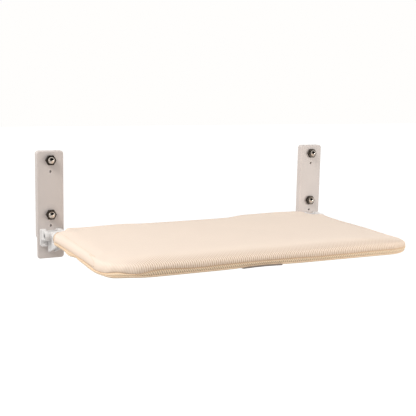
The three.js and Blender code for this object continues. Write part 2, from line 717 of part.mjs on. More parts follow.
// Points between two corners, with the edge drawn in most at its middle.
function sidePoints(from, to, steps) {
  const along = to.clone().sub(from);
  const inward = new THREE.Vector2(-along.y, along.x).normalize();
  const points = [];
  for (let i = 1; i < steps; i += 1) {
    const share = i / steps;
    const offMiddle = 2 * share - 1;
    const draw = DRAW_IN * (1 - offMiddle * offMiddle);
    points.push(from.clone().addScaledVector(along, share).addScaledVector(inward, draw));
  }
  return points;
}

function coverOutline() {
  const front = arcPoints(HALF_SHELF - FRONT_CORNER, SHELF_REACH - FRONT_CORNER, FRONT_CORNER,
    3, 4, FRONT_STEPS);
  const rear = [
    ...arcPoints(HALF_SHELF - HINGE_CORNER, NOTCH_OUT + HINGE_CORNER, HINGE_CORNER, 0, 1, REAR_STEPS),
    ...arcPoints(NOTCH_X + NOTCH_CORNER, NOTCH_OUT - NOTCH_CORNER, NOTCH_CORNER, 3, 2, NOTCH_STEPS),
    ...arcPoints(NOTCH_X - REAR_CORNER, SHELF_REAR_OUT + REAR_CORNER, REAR_CORNER, 0, 1, REAR_STEPS),
  ];
  const right = [...front, ...sidePoints(front[front.length - 1], rear[0], SHORT_SIDE_STEPS), ...rear];
  const left = right.map((point) => new THREE.Vector2(-point.x, point.y)).reverse();
  return [
    ...right,
    ...sidePoints(right[right.length - 1], left[0], LONG_SIDE_STEPS),
    ...left,
    ...sidePoints(left[left.length - 1], right[0], LONG_SIDE_STEPS),
  ];
}

const OUTLINE = coverOutline();

function insetOutline(inset) {
  return OUTLINE.map((point, i) => {
    const before = OUTLINE[(i + OUTLINE.length - 1) % OUTLINE.length];
    const after = OUTLINE[(i + 1) % OUTLINE.length];
    const along = after.clone().sub(before).normalize();
    return point.clone().addScaledVector(new THREE.Vector2(-along.y, along.x), inset);
  });
}

function ringAt(inset, height) {
  return insetOutline(inset).map((point) => new THREE.Vector3(point.x, point.y, height));
}

const COVER_MIDDLE = new THREE.Vector2(0, -(SHELF_REAR_OUT + SHELF_REACH) / 2);

// A ring of the crown: the inset outline drawn towards the middle of the cover.
function crownRing(inset, share, height) {
  return insetOutline(inset).map((point) => {
    const place = point.clone().sub(COVER_MIDDLE).multiplyScalar(share).add(COVER_MIDDLE);
    return new THREE.Vector3(place.x, place.y, height);
  });
}

// Cover top: fabric panel that rolls over the edge to the upper seam and crowns in the middle
const SEAM_HEIGHT = 0;
const ROLL = 10;
const CROWN = 4;
const ROLL_STEPS = 4;
const CROWN_SHARES = [0.82, 0.55, 0.25];
const TUBE_OPENING = COLLAR_RADIUS + 2 * GAP;
const OPENING_END = NOTCH_OUT + HINGE_CORNER - FABRIC;
const OPENING_SIDES = 14;

function rollRings(depth, base, top) {
  const rings = [];
  for (let i = 0; i <= ROLL_STEPS; i += 1) {
    const angle = (i / ROLL_STEPS) * (Math.PI / 2);
    const inset = depth + (ROLL - depth) * (1 - Math.cos(angle));
    rings.push(ringAt(inset, base + (top - base) * Math.sin(angle)));
  }
  return rings;
}

function crownRings(top) {
  return CROWN_SHARES.map((share) => crownRing(ROLL, share, top + CROWN * (1 - share * share)));
}

function tubeOpenings() {
  return [-1, 1].map((side) => rodOut(TUBE_OPENING, PIVOT_OUT, OPENING_END,
    side * RAIL_X, 0, OPENING_SIDES));
}

function coverTop() {
  const base = SEAM_HEIGHT + GAP / 2;
  const skin = [...rollRings(0, base, EDGE_TOP), ...crownRings(EDGE_TOP)];
  const lining = [...rollRings(FABRIC, base, EDGE_TOP - FABRIC), ...crownRings(EDGE_TOP - FABRIC)];
  return cut(outward(loft([...skin.reverse(), ...lining], false)), ...tubeOpenings());
}

// Cover band: strip sewn between the upper and lower seams
const BAND_BULGE = 0.8;
const BOTTOM_FABRIC = 1.4;

function coverBand() {
  const low = -EDGE_TOP + BOTTOM_FABRIC + GAP;
  const high = SEAM_HEIGHT - GAP / 2;
  const rings = [
    ringAt(0, low),
    ringAt(-BAND_BULGE, (low + high) / 2),
    ringAt(0, high),
    ringAt(FABRIC, high),
    ringAt(FABRIC, low),
  ];
  return cut(outward(loft(rings, true)), ...tubeOpenings());
}

// Cover bottom: flat panel with a slot for the zip
const ZIP_OUT = 92;
const ZIP_LENGTH = 380;
const ZIP_SLOT = 8;
const ZIP_SLOT_END = 3;

function coverBottom() {
  const shape = new THREE.Shape(insetOutline(0));
  const slot = roundedRect(ZIP_LENGTH, ZIP_SLOT, ZIP_SLOT_END, 0, -ZIP_OUT);
  shape.holes.push(new THREE.Path(slot.getPoints(CURVE_SEGMENTS).reverse()));
  return prism(shape, BOTTOM_FABRIC, 0, 1).translate(0, 0, -EDGE_TOP);
}

// Foam pad: lies inside the frame, crowned like the cover, grooved below for the brace
const TAPE_THICKNESS = 0.7;
const TAPE_BOTTOM = -EDGE_TOP + BOTTOM_FABRIC + GAP;
const TAPE_TOP = TAPE_BOTTOM + TAPE_THICKNESS;

function foamPad() {
  const low = TAPE_TOP + GAP;
  const top = EDGE_TOP - FABRIC - GAP;
  const crowned = outward(loft([ringAt(ROLL, low), ringAt(ROLL, top), ...crownRings(top)], false));
  const half = BOW_X - BOW_RADIUS - RAIL_CLEAR;
  const rear = BOW_REAR_OUT + BOW_RADIUS + RAIL_CLEAR;
  const front = RAIL_FRONT_OUT - TUBE_RADIUS - RAIL_CLEAR;
  const outline = roundedRect(2 * half, front - rear, BOW_BEND - BOW_RADIUS, 0, -(rear + front) / 2);
  const block = prism(outline, SHELF_THICKNESS + CROWN, 0, 1).translate(0, 0, -EDGE_TOP);
  const groove = BOW_RADIUS + GAP;
  const slot = box(-groove, groove, 0, SHELF_REACH, -SHELF_THICKNESS, 0);
  const round = rodOut(groove, 0, SHELF_REACH, 0, 0, BOW_SIDES);
  return cut(common(crowned, block), slot, round);
}

// Front tab: a short strip of webbing sewn flat under the front edge, a little left of its middle
const TAB_MIDDLE = -25;
const TAB_WIDTH = 64;
const TAB_LENGTH = 22;
const TAB_THICKNESS = 1.6;
const TAB_CORNER = 3;

function frontTab() {
  const middle = SHELF_REACH - DRAW_IN - TAB_LENGTH / 2;
  const outline = roundedRect(TAB_WIDTH, TAB_LENGTH, TAB_CORNER, TAB_MIDDLE, -middle);
  return prism(outline, TAB_THICKNESS, 0, 1).translate(0, 0, -EDGE_TOP - GAP - TAB_THICKNESS);
}

// Zip: tape with its coil, slider on the coil, pull on the slider's lug
const TAPE_WIDTH = 24;
const TAPE_OVERLAP = 8;
const COIL_WIDTH = 3.6;
const COIL_DEPTH = 1.8;
const SLIDER_LENGTH = 12;
const SLIDER_WIDTH = 7;
const SLIDER_PLATE = 1.2;
const SLIDER_CHANNEL = COIL_WIDTH + 2 * GAP;
const SLIDER_EDGE = 2.4;
const SLIDER_TRAVEL_END = 8;
const SLIDER_REST = -(ZIP_LENGTH / 2 - SLIDER_TRAVEL_END - SLIDER_LENGTH / 2);
const LUG_THICKNESS = 1.8;
const LUG_RADIUS = 1.9;
const LUG_HOLE = 1.2;
const LUG_DROP = 2.6;
const PULL_PIN = LUG_HOLE - GAP;
const PULL_WIDTH = 7;
const PULL_THICKNESS = 1.6;
const PULL_HEAD = 1.4;
const PULL_LENGTH = 21;
const PULL_FORK = LUG_THICKNESS + 2 * GAP;
const PULL_CHEEK = 1.2;
const PULL_EDGE = 2.5;
const PULL_GRIP_LENGTH = 12;
const FORK_DEPTH = LUG_RADIUS + 2 * GAP;
const ZIP_SIDES = 12;
const COIL_BOTTOM = TAPE_BOTTOM - COIL_DEPTH;
const SLIDER_TOP = COIL_BOTTOM - GAP;
const SLIDER_BOTTOM = SLIDER_TOP - SLIDER_PLATE;
const LUG_HEIGHT = SLIDER_BOTTOM - LUG_DROP;

function zipTape() {
  const half = TAPE_WIDTH / 2;
  const coil = COIL_WIDTH / 2;
  const section = polygon([
    [ZIP_OUT - half, TAPE_TOP],
    [ZIP_OUT - half, TAPE_BOTTOM],
    [ZIP_OUT - coil, TAPE_BOTTOM],
    [ZIP_OUT - coil, COIL_BOTTOM],
    [ZIP_OUT + coil, COIL_BOTTOM],
    [ZIP_OUT + coil, TAPE_BOTTOM],
    [ZIP_OUT + half, TAPE_BOTTOM],
    [ZIP_OUT + half, TAPE_TOP],
  ]);
  const reach = ZIP_LENGTH / 2 + TAPE_OVERLAP;
  const coilReach = ZIP_LENGTH / 2 - ZIP_SLOT_END;
  const tape = sidePrism(section, -reach, reach);
  const below = TAPE_BOTTOM - GAP;
  const ends = [-1, 1].map((side) => {
    const near = side * coilReach;
    const far = side * (reach + OVERRUN);
    return box(Math.min(near, far), Math.max(near, far), ZIP_OUT - half, ZIP_OUT + half,
      COIL_BOTTOM - OVERRUN, below + GAP);
  });
  return cut(tape, ...ends);
}

// Built about the slider's own middle, with height measured from the hinge axis.
function zipSlider() {
  const outline = roundedRect(SLIDER_LENGTH, SLIDER_WIDTH, SLIDER_EDGE);
  const block = prism(outline, TAPE_BOTTOM - 2 * GAP - SLIDER_BOTTOM, 0, 1).translate(0, 0, SLIDER_BOTTOM);
  const channel = box(-SLIDER_LENGTH, SLIDER_LENGTH, -SLIDER_CHANNEL / 2, SLIDER_CHANNEL / 2,
    SLIDER_TOP, TAPE_TOP);
  const neck = box(-LUG_RADIUS, LUG_RADIUS, -LUG_THICKNESS / 2, LUG_THICKNESS / 2,
    LUG_HEIGHT, SLIDER_BOTTOM + SLIDER_PLATE / 2);
  const lug = rodOut(LUG_RADIUS, -LUG_THICKNESS / 2, LUG_THICKNESS / 2, 0, LUG_HEIGHT, ZIP_SIDES);
  const hole = rodOut(LUG_HOLE, -LUG_THICKNESS, LUG_THICKNESS, 0, LUG_HEIGHT, ZIP_SIDES);
  return cut(join(block, neck, lug), channel, hole);
}

// Built about the pull's pin, hanging down from it.
function zipPull() {
  const width = PULL_FORK + 2 * PULL_CHEEK;
  const stem = box(-PULL_THICKNESS / 2, PULL_THICKNESS / 2, -width / 2, width / 2,
    PULL_GRIP_LENGTH - PULL_LENGTH, PULL_HEAD);
  const grip = sidePrism(
    roundedRect(PULL_WIDTH, PULL_GRIP_LENGTH, PULL_EDGE, 0, PULL_GRIP_LENGTH / 2 - PULL_LENGTH),
    -PULL_THICKNESS / 2, PULL_THICKNESS / 2,
  );
  const fork = box(-PULL_THICKNESS, PULL_THICKNESS, -PULL_FORK / 2, PULL_FORK / 2, -FORK_DEPTH, PULL_WIDTH);
  const pin = rodOut(PULL_PIN, -width / 2 + GAP, width / 2 - GAP, 0, 0, ZIP_SIDES);
  return join(cut(join(stem, grip), fork), pin);
}

// Assembly: each side of the wall group, then the shelf that turns about the pivots
const hammock = new THREE.Group();
const shelf = new THREE.Group();
hammock.add(shelf);

for (const [label, side] of [['left', -1], ['right', 1]]) {
  const wall = new THREE.Group();
  wall.position.set((side * PLATE_PITCH) / 2, 0, 0);
  hammock.add(wall);
  piece(wall, `${label}_wall_plate`, wallPlate(side), PLATE_FINISH);
  piece(wall, `${label}_back_strap`, backStrap(), STEEL_FINISH);
  ['lower', 'upper'].forEach((level, i) => {
    const bolt = piece(wall, `${label}_${level}_plate_bolt`, plateBolt(), STEEL_FINISH);
    bolt.position.set(0, GAP - STRAP_BACK, NUT_HEIGHTS[i]);
    bolt.rotation.x = Math.PI / 2;
    const nut = piece(wall, `${label}_${level}_dome_nut`, domeNut(), CHROME_FINISH);
    nut.position.set(0, -NUT_SEAT, NUT_HEIGHTS[i]);
    nut.rotation.x = Math.PI / 2;
  });
  piece(wall, `${label}_hinge_bracket`, hingeBracket(side), HINGE_FINISH);

  const hinge = new THREE.Group();
  hinge.position.set(side * HINGE_OFFSET, -PIVOT_OUT, 0);
  wall.add(hinge);
  const bolt = piece(hinge, `${label}_pivot_bolt`, pivotBolt(), STEEL_FINISH);
  bolt.position.x = side * (EAR_FACE - PIVOT_SINK + GAP);
  bolt.rotation.y = (side * Math.PI) / 2;
  const nut = piece(hinge, `${label}_pivot_nut`, pivotNut(), STEEL_FINISH);
  nut.position.x = -side * (EAR_FACE - PIVOT_NUT_HEIGHT / 2);
  for (const [place, across] of [['outer', side], ['inner', -side]]) {
    const ring = piece(hinge, `${label}_thrust_washer_${place}`, washer(), HINGE_FINISH);
    ring.position.x = across * (EAR_INNER - GAP - WASHER_THICKNESS / 2);
    ring.rotation.y = Math.PI / 2;
  }
  for (const [place, across] of [['outer', side], ['inner', -side]]) {
    for (const { level, height, seat } of SCREW_SEATS) {
      const screw = piece(wall, `${label}_bracket_screw_${place}_${level}`, bracketScrew(), STEEL_FINISH);
      screw.position.set(side * HINGE_OFFSET + across * EAR_MIDDLE, GAP - seat, height);
      screw.rotation.x = Math.PI / 2;
    }
  }

  piece(shelf, `${label}_knuckle`, knuckle(side), HINGE_FINISH);
  const clamp = piece(shelf, `${label}_arm_screw`, armScrew(), STEEL_FINISH);
  clamp.position.set(side * (RAIL_X - TUBE_RADIUS - GAP), -(SHOULDER_OUT + ARM_SCREW_OUT), 0);
  clamp.rotation.y = (side * Math.PI) / 2;
}

piece(shelf, 'frame_rail', frameRail(), TUBE_FINISH);
piece(shelf, 'rear_bow', rearBow(), TUBE_FINISH);
piece(shelf, 'centre_brace', centreBrace(), TUBE_FINISH);
piece(shelf, 'foam_pad', foamPad(), FOAM_FINISH);
piece(shelf, 'cover_top', coverTop(), MESH_FINISH);
piece(shelf, 'cover_band', coverBand(), BAND_FINISH);
piece(shelf, 'cover_bottom', coverBottom(), MESH_FINISH);
piece(shelf, 'front_tab', frontTab(), TAB_FINISH);
piece(shelf, 'zip_tape', zipTape(), ZIP_FINISH);

const zip = new THREE.Group();
zip.position.set(SLIDER_REST, -ZIP_OUT, 0);
shelf.add(zip);
piece(zip, 'zip_slider', zipSlider(), ZIP_FINISH);
const pull = piece(zip, 'zip_pull', zipPull(), ZIP_FINISH);
pull.position.z = LUG_HEIGHT;

export default hammock;
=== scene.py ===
import json
import math

import bmesh
import bpy
from mathutils import Matrix, Vector, noise
from mathutils.bvhtree import BVHTree
from mathutils.geometry import delaunay_2d_cdt

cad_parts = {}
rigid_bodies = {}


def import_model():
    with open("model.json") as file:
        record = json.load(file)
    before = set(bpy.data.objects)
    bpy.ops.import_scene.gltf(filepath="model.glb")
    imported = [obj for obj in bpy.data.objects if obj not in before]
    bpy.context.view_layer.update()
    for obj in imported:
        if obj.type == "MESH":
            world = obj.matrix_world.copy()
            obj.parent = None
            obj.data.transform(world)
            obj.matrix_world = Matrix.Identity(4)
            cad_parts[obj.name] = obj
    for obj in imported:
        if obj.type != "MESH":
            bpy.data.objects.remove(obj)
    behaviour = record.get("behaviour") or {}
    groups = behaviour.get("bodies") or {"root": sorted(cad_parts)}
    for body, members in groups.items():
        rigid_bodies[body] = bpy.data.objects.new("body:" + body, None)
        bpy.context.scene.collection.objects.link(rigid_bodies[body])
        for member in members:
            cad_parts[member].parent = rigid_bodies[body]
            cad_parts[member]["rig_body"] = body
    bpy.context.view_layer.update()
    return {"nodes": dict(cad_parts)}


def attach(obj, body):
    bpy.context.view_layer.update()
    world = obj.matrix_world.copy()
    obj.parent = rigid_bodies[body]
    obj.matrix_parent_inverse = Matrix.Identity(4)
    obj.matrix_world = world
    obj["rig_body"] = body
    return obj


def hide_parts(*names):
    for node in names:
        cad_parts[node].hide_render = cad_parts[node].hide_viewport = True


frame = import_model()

# Frame of reference The hammock hangs on the wall plane y = 0 and reaches out along -Y, level
# with its hinge axis. Lengths are metres.
scene = bpy.context.scene
collection = scene.collection

# Camera
# A short telephoto view from the left and a little above, as a product photographer takes it.
# The turn is the heading, then the tilt down, then the slight roll of the camera body.
camera_data = bpy.data.cameras.new("camera")
camera_data.sensor_width = 36
camera_data.lens = 71.755
camera_data.clip_start = 0.05
camera_data.clip_end = 60
camera = bpy.data.objects.new("camera", camera_data)
collection.objects.link(camera)
camera_place = Matrix.Translation((-0.6325, -1.3585, 0.2681))
heading = Matrix.Rotation(math.radians(-26.443), 4, "Z")
tilt = Matrix.Rotation(math.radians(90 - 9.09), 4, "X")
lean = Matrix.Rotation(math.radians(1.201), 4, "Z")
camera.matrix_world = camera_place @ heading @ tilt @ lean
scene.camera = camera
scene.view_settings.view_transform = "Standard"


# Room and light
# A pale studio floor as far below the shelf as a room's floor would be, an even white surround,
# one large soft lamp high on the left, a weak one in front, and a dark card over the camera.
class Wire:
    """A socket in a node tree. Sums on it add the nodes that work them out."""

    def __init__(self, tree, socket=None):
        self.tree = tree
        self.socket = socket

    def node(self, kind, settings=None, inputs=None, output=0):
        made = self.tree.nodes.new(kind)
        for name, value in (settings or {}).items():
            setattr(made, name, value)
        for name, value in (inputs or {}).items():
            if isinstance(value, Wire):
                self.tree.links.new(value.socket, made.inputs[name])
            else:
                made.inputs[name].default_value = value
        return Wire(self.tree, made.outputs[output])

    def spot(self):
        """The place on the piece, in metres from the frame's origin."""
        return self.node("ShaderNodeTexCoord", output="Object")

    def on_cloth(self):
        """The place on a panel of cloth, in metres along and across it."""
        return self.node("ShaderNodeUVMap", {"uv_map": "weave"})

    def surface(self, values):
        return self.node("ShaderNodeBsdfPrincipled", None, values)

    def maths(self, operation, *values):
        return self.node("ShaderNodeMath", {"operation": operation}, dict(enumerate(values)))

    def axis(self, name):
        return self.node("ShaderNodeSeparateXYZ", None, {"Vector": self}, name)

    def step(self, low, high):
        """0 below low and 1 above high, with a smooth rise between them."""
        return self.node("ShaderNodeMapRange", {"interpolation_type": "SMOOTHSTEP"},
                         {"Value": self, "From Min": low, "From Max": high})

    def blend(self, first, second):
        """The first colour where this is 0 and the second where it is 1."""
        colors = [value if isinstance(value, Wire) else (*value, 1) for value in (first, second)]
        return self.node("ShaderNodeMix", {"data_type": "RGBA"}, {0: self, 6: colors[0], 7: colors[1]}, 2)

    def mottle(self, scale, detail=2, rough=0.5):
        """Soft noise over the surface, at this place."""
        return self.node("ShaderNodeTexNoise", None, {
            "Vector": self, "Scale": scale, "Detail": detail, "Roughness": rough})

    def relief(self, strength, distance):
        """The way that the surface faces where this is its height."""
        return self.node("ShaderNodeBump", None, {
            "Strength": strength, "Distance": distance, "Height": self})

    def __add__(self, other):
        return self.maths("ADD", self, other)

    def __radd__(self, other):
        return self.maths("ADD", other, self)

    def __sub__(self, other):
        return self.maths("SUBTRACT", self, other)

    def __rsub__(self, other):
        return self.maths("SUBTRACT", other, self)

    def __mul__(self, other):
        return self.maths("MULTIPLY", self, other)

    def __rmul__(self, other):
        return self.maths("MULTIPLY", other, self)


def finished(name, surface_of):
    material = bpy.data.materials.new(name)
    material.use_nodes = True
    tree = material.node_tree
    tree.nodes.clear()
    surface = surface_of(Wire(tree))
    output = tree.nodes.new("ShaderNodeOutputMaterial")
    tree.links.new(surface.socket, output.inputs["Surface"])
    return material


def board(name, corners, material):
    """A flat board of the studio, which is no part of the object."""
    mesh = bpy.data.meshes.new(name)
    mesh.from_pydata(corners, [], [(0, 1, 2, 3)])
    mesh.materials.append(material)
    made = bpy.data.objects.new(name, mesh)
    collection.objects.link(made)
    return made


def floor_paint(start):
    seen = start.node("ShaderNodeLightPath", output="Is Camera Ray")
    paint = start.node("ShaderNodeBsdfDiffuse", None, {"Color": (0.86, 0.85, 0.84, 1)})
    glow = start.node("ShaderNodeEmission", None, {"Color": (1, 1, 1, 1), "Strength": seen * 0.75})
    return start.node("ShaderNodeAddShader", None, {0: paint, 1: glow})


square = ((-1, -1), (1, -1), (1, 1), (-1, 1))
floor_half = 20
floor_height = -1.15
board("floor", [(floor_half * x, floor_half * y, floor_height) for x, y in square],
      finished("floor_paint", floor_paint))

world = bpy.data.worlds.new("surround")
world.use_nodes = True
world.node_tree.nodes.clear()
sky = Wire(world.node_tree)
looks = [sky.node("ShaderNodeLightPath", output=ray)
         for ray in ("Is Camera Ray", "Is Glossy Ray", "Is Transmission Ray")]
direct = sky.maths("MAXIMUM", looks[0], sky.maths("MAXIMUM", looks[1], looks[2]))
background = sky.node("ShaderNodeBackground", None,
                      {"Color": (1, 0.99, 0.975, 1), "Strength": 0.40 + direct * 0.60})
world.node_tree.links.new(background.socket,
                          world.node_tree.nodes.new("ShaderNodeOutputWorld").inputs["Surface"])
scene.world = world


def lamp(name, place, aim, width, watts, color):
    data = bpy.data.lights.new(name, "AREA")
    data.shape = "SQUARE"
    data.size = width
    data.energy = watts
    data.color = color
    made = bpy.data.objects.new(name, data)
    made.location = place
    made.rotation_euler = (Vector(aim) - Vector(place)).to_track_quat("-Z", "Y").to_euler()
    collection.objects.link(made)


lamp("key_lamp", place=(-1.9, -0.6, 2.1), aim=(0, -0.16, 0), width=1.5, watts=68,
     color=(1, 0.99, 0.97))
lamp("front_lamp", place=(0.75, -0.85, 0.09), aim=(0.2, -0.1, 0), width=0.5, watts=4.5,
     color=(1, 0.98, 0.94))

card_place = Vector((-0.1, -0.36, 0.50))
card_aim = Vector((-0.1, 0, 0.1))
card_half = (1.2, 0.62)
card_turn = (card_aim - card_place).to_track_quat("-Z", "Y").to_matrix()
card = board("black_card", [card_place + card_turn @ Vector((card_half[0] * x, card_half[1] * y, 0))
                            for x, y in square],
             finished("card_black", lambda start: start.node(
                 "ShaderNodeBsdfDiffuse", None, {"Color": (0.01, 0.01, 0.01, 1)})))
# Polished metal alone shows the card.
card.visible_camera = False
card.visible_diffuse = False
card.visible_transmission = False
card.visible_shadow = False


# Wall plates
# Moulded trays of warm light grey plastic with a fine spark-eroded face, open and ribbed at the
# back. Two dome nuts and two pilot holes show on the face.
def settle(made, body, slot, *nodes):
    """Applies the modifiers of a piece and lets it ride on its body. Its slot, for naming its finish, is
    not used.
    """
    graph = bpy.context.evaluated_depsgraph_get()
    graph.update()
    mesh = bpy.data.meshes.new_from_object(made.evaluated_get(graph), depsgraph=graph)
    made.modifiers.clear()
    made.data = mesh
    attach(made, body)
    if nodes:
        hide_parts(*nodes)
    return made


def placed(name, mesh, *materials):
    made = bpy.data.objects.new(name, mesh)
    collection.objects.link(made)
    for material in materials:
        mesh.materials.append(material)
    return made


def soften(mesh, angle):
    """Smooth shading, except over edges sharper than the angle."""
    mesh.polygons.foreach_set("use_smooth", [True] * len(mesh.polygons))
    mesh.set_sharp_from_angle(angle=math.radians(angle))


def carve(made, cut):
    """Takes off a piece what the cutting form overlaps."""
    carving = made.modifiers.new("carve", "BOOLEAN")
    carving.operation = "DIFFERENCE"
    carving.object = cut
    carving.solver = "EXACT"


def refined(node, material, slot, edge=0.0, angle=32, cut=None):
    """A copy of a CAD node with welded corners and eased edges, standing for that node."""
    source = frame["nodes"][node]
    mesh = source.data.copy()
    mesh.materials.clear()
    form = bmesh.new()
    form.from_mesh(mesh)
    bmesh.ops.remove_doubles(form, verts=form.verts, dist=0.00001)
    bmesh.ops.dissolve_limit(form, angle_limit=math.radians(0.5), verts=form.verts, edges=form.edges)
    form.to_mesh(mesh)
    form.free()
    made = placed("finished_" + node, mesh, material)
    if cut:
        carve(made, cut)
    if edge:
        ease = made.modifiers.new("ease", "BEVEL")
        ease.width = edge
        ease.segments = 2
        ease.limit_method = "ANGLE"
        ease.angle_limit = math.radians(angle)
        ease.use_clamp_overlap = True
    soften(mesh, angle)
    flatten = made.modifiers.new("flatten", "WEIGHTED_NORMAL")
    flatten.keep_sharp = True
    return settle(made, source["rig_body"], slot, node)


def darker(color, share):
    return tuple(part * share for part in color)


def plastic(color, grain, depth, rough):
    """Moulded plastic: a faint cloud in its colour and a fine spark-eroded grain."""
    def surface_of(start):
        place = start.spot()
        fine = place.mottle(grain, 2, 0.6)
        return start.surface({
            "Base Color": place.mottle(14, 3).step(0.3, 0.75).blend(darker(color, 0.94), color),
            "Roughness": rough + fine * 0.12, "Normal": fine.relief(0.25, depth), "IOR": 1.49})
    return surface_of


plate_plastic = finished("plate_plastic", plastic((0.70, 0.634, 0.602), grain=2600, depth=0.00012,
                                                  rough=0.5))
for side in ("left", "right"):
    refined(side + "_wall_plate", plate_plastic, "plate")

# Dome nuts
# Low acorn nuts, 16 mm across flats: a hexagon with turned-down corners, painted near black as a
# dark reflection, and a polished dome over the blind thread.
nut_flat = 0.008
nut_corner = nut_flat / math.cos(math.pi / 6)
nut_hex_height = 0.0056
nut_height = 0.0116
nut_dome = 0.0060
nut_polish = 0.0026
nut_bore = 0.005
nut_bore_depth = 0.008
nut_seat = 0.0123
nut_sides = 48
nut_heights = {"lower": 0.032, "upper": 0.1235}
plate_x = 0.2575


def full_turn(count):
    return [2 * math.pi * i / count for i in range(count)]


def join_rings(form, rings, caps=(0, -1)):
    """Faces between neighbouring rings. Without caps, the last ring joins the first."""
    for lower, upper in zip(rings, rings[1:] if caps else rings[1:] + rings[:1]):
        for i in range(len(lower)):
            k = (i + 1) % len(lower)
            form.faces.new((lower[i], lower[k], upper[k], upper[i]))
    for end in caps:
        form.faces.new(rings[end])


def mesh_of(form, name):
    mesh = bpy.data.meshes.new(name)
    form.to_mesh(mesh)
    form.free()
    return mesh


def closed(form, name, angle):
    """The mesh of a closed form, with its faces outwards and smooth up to the angle."""
    bmesh.ops.recalc_face_normals(form, faces=form.faces)
    mesh = mesh_of(form, name)
    soften(mesh, angle)
    return mesh


def nut_profile():
    """Rings of (radius, distance out) from the bottom of the thread round to the top of the dome."""
    rows = [(0.0003, nut_bore_depth), (nut_bore, nut_bore_depth - 0.0012), (nut_bore, 0.0004),
            (nut_bore + 0.0004, 0), (nut_flat - 0.0005, 0), (nut_flat, 0.0003),
            (nut_corner, 0.0008), (nut_corner, nut_hex_height - 0.0012),
            (nut_flat, nut_hex_height - 0.0003), (nut_flat - 0.0006, nut_hex_height),
            (nut_dome + 0.0003, nut_hex_height)]
    for i in range(10):
        turn = i / 10 * math.pi / 2
        rise = nut_height - nut_hex_height
        rows.append((nut_dome * math.cos(turn), nut_hex_height + rise * math.sin(turn)))
    return rows + [(0.0002, nut_height)]


def nut_form(place):
    """A nut turned about an axis that leaves the wall, with its six flats milled."""
    form = bmesh.new()
    rings = []
    for radius, out in nut_profile():
        ring = []
        for turn in full_turn(nut_sides):
            off_flat = (turn % (math.pi / 3)) - math.pi / 6
            reach = min(radius, nut_flat / math.cos(off_flat))
            ring.append(form.verts.new((place.x + math.cos(turn) * reach, place.y - out,
                                        place.z + math.sin(turn) * reach)))
        rings.append(ring)
    join_rings(form, rings)
    return closed(form, "nut", 26)


def nut_metal(start):
    wear = start.spot().mottle(900, 3)
    dome = start.node("ShaderNodeAttribute", {"attribute_name": "dome"}, output="Fac")
    # The hexagon's near-black colour is a painted dark reflection. The dome keeps the polished metal's
    # colour.
    painted_dark_reflection = wear.step(0.35, 0.7).blend((0.045, 0.038, 0.032), (0.10, 0.085, 0.07))
    polished = wear.step(0.3, 0.7).blend((0.72, 0.64, 0.57), (0.80, 0.72, 0.64))
    return start.surface({
        "Base Color": dome.blend(painted_dark_reflection, polished), "Metallic": 1,
        "Roughness": 0.3 - dome * 0.23 + wear * 0.05})


nut_finish = finished("nut_metal", nut_metal)
for side, x in (("left", -plate_x), ("right", plate_x)):
    for level, height in nut_heights.items():
        nut_mesh = nut_form(Vector((x, -nut_seat, height)))
        rises = [-nut_seat - nut_hex_height - point.co.y for point in nut_mesh.vertices]
        dome = nut_mesh.attributes.new("dome", "FLOAT", "POINT")
        dome.data.foreach_set("value", [min(1.0, max(0.0, rise / nut_polish - 0.2)) for rise in rises])
        node = "%s_%s_dome_nut" % (side, level)
        settle(placed(node + "_finished", nut_mesh, nut_finish), "wall_side", "chrome", node)


# Plate bolts, backing straps, pivot bolts and pivot nuts
# Cold-headed bolts and stamped straps of steel, with the faint cloudy sheen of a zinc bath. The
# straps lie inside the plates, clamped by the bolts that carry the dome nuts.
def coated(shade, tone, scale, detail, strength, rough, change, more):
    """Metal under a thin coat, whose clouds mottle its colour, its relief and its gloss."""
    def surface_of(start):
        cloud = start.spot().mottle(scale, detail)
        return start.surface({
            "Base Color": cloud.step(0.3, 0.7).blend(shade, tone), "Roughness": rough + cloud * change,
            "Normal": cloud.relief(strength, 0.0001), **more})
    return surface_of


steel = finished("zinc", coated((0.46, 0.46, 0.47), (0.62, 0.61, 0.59), 260, 4, 0.15, 0.28, 0.16,
                                {"Metallic": 1}))
for side in ("left", "right"):
    for part in ("lower_plate_bolt", "upper_plate_bolt", "back_strap", "pivot_bolt", "pivot_nut"):
        refined("%s_%s" % (side, part), steel, "steel", 0.00015)

# Screws
# Pan heads with a cross recess: eight hold the hinge brackets from behind, and two fix the tubes
# on their spigots. Threads are turned rings.
screw_head_radius = 0.0034
screw_head_height = 0.0022
screw_radius = 0.0017
screw_core = screw_radius * 0.8
screw_pitch = 0.0022
screw_crest = 0.0009
screw_sides = 12
recess_half = 0.00045
recess_reach = 0.0018
bracket_screw_length = 0.014
arm_screw_length = 0.0085


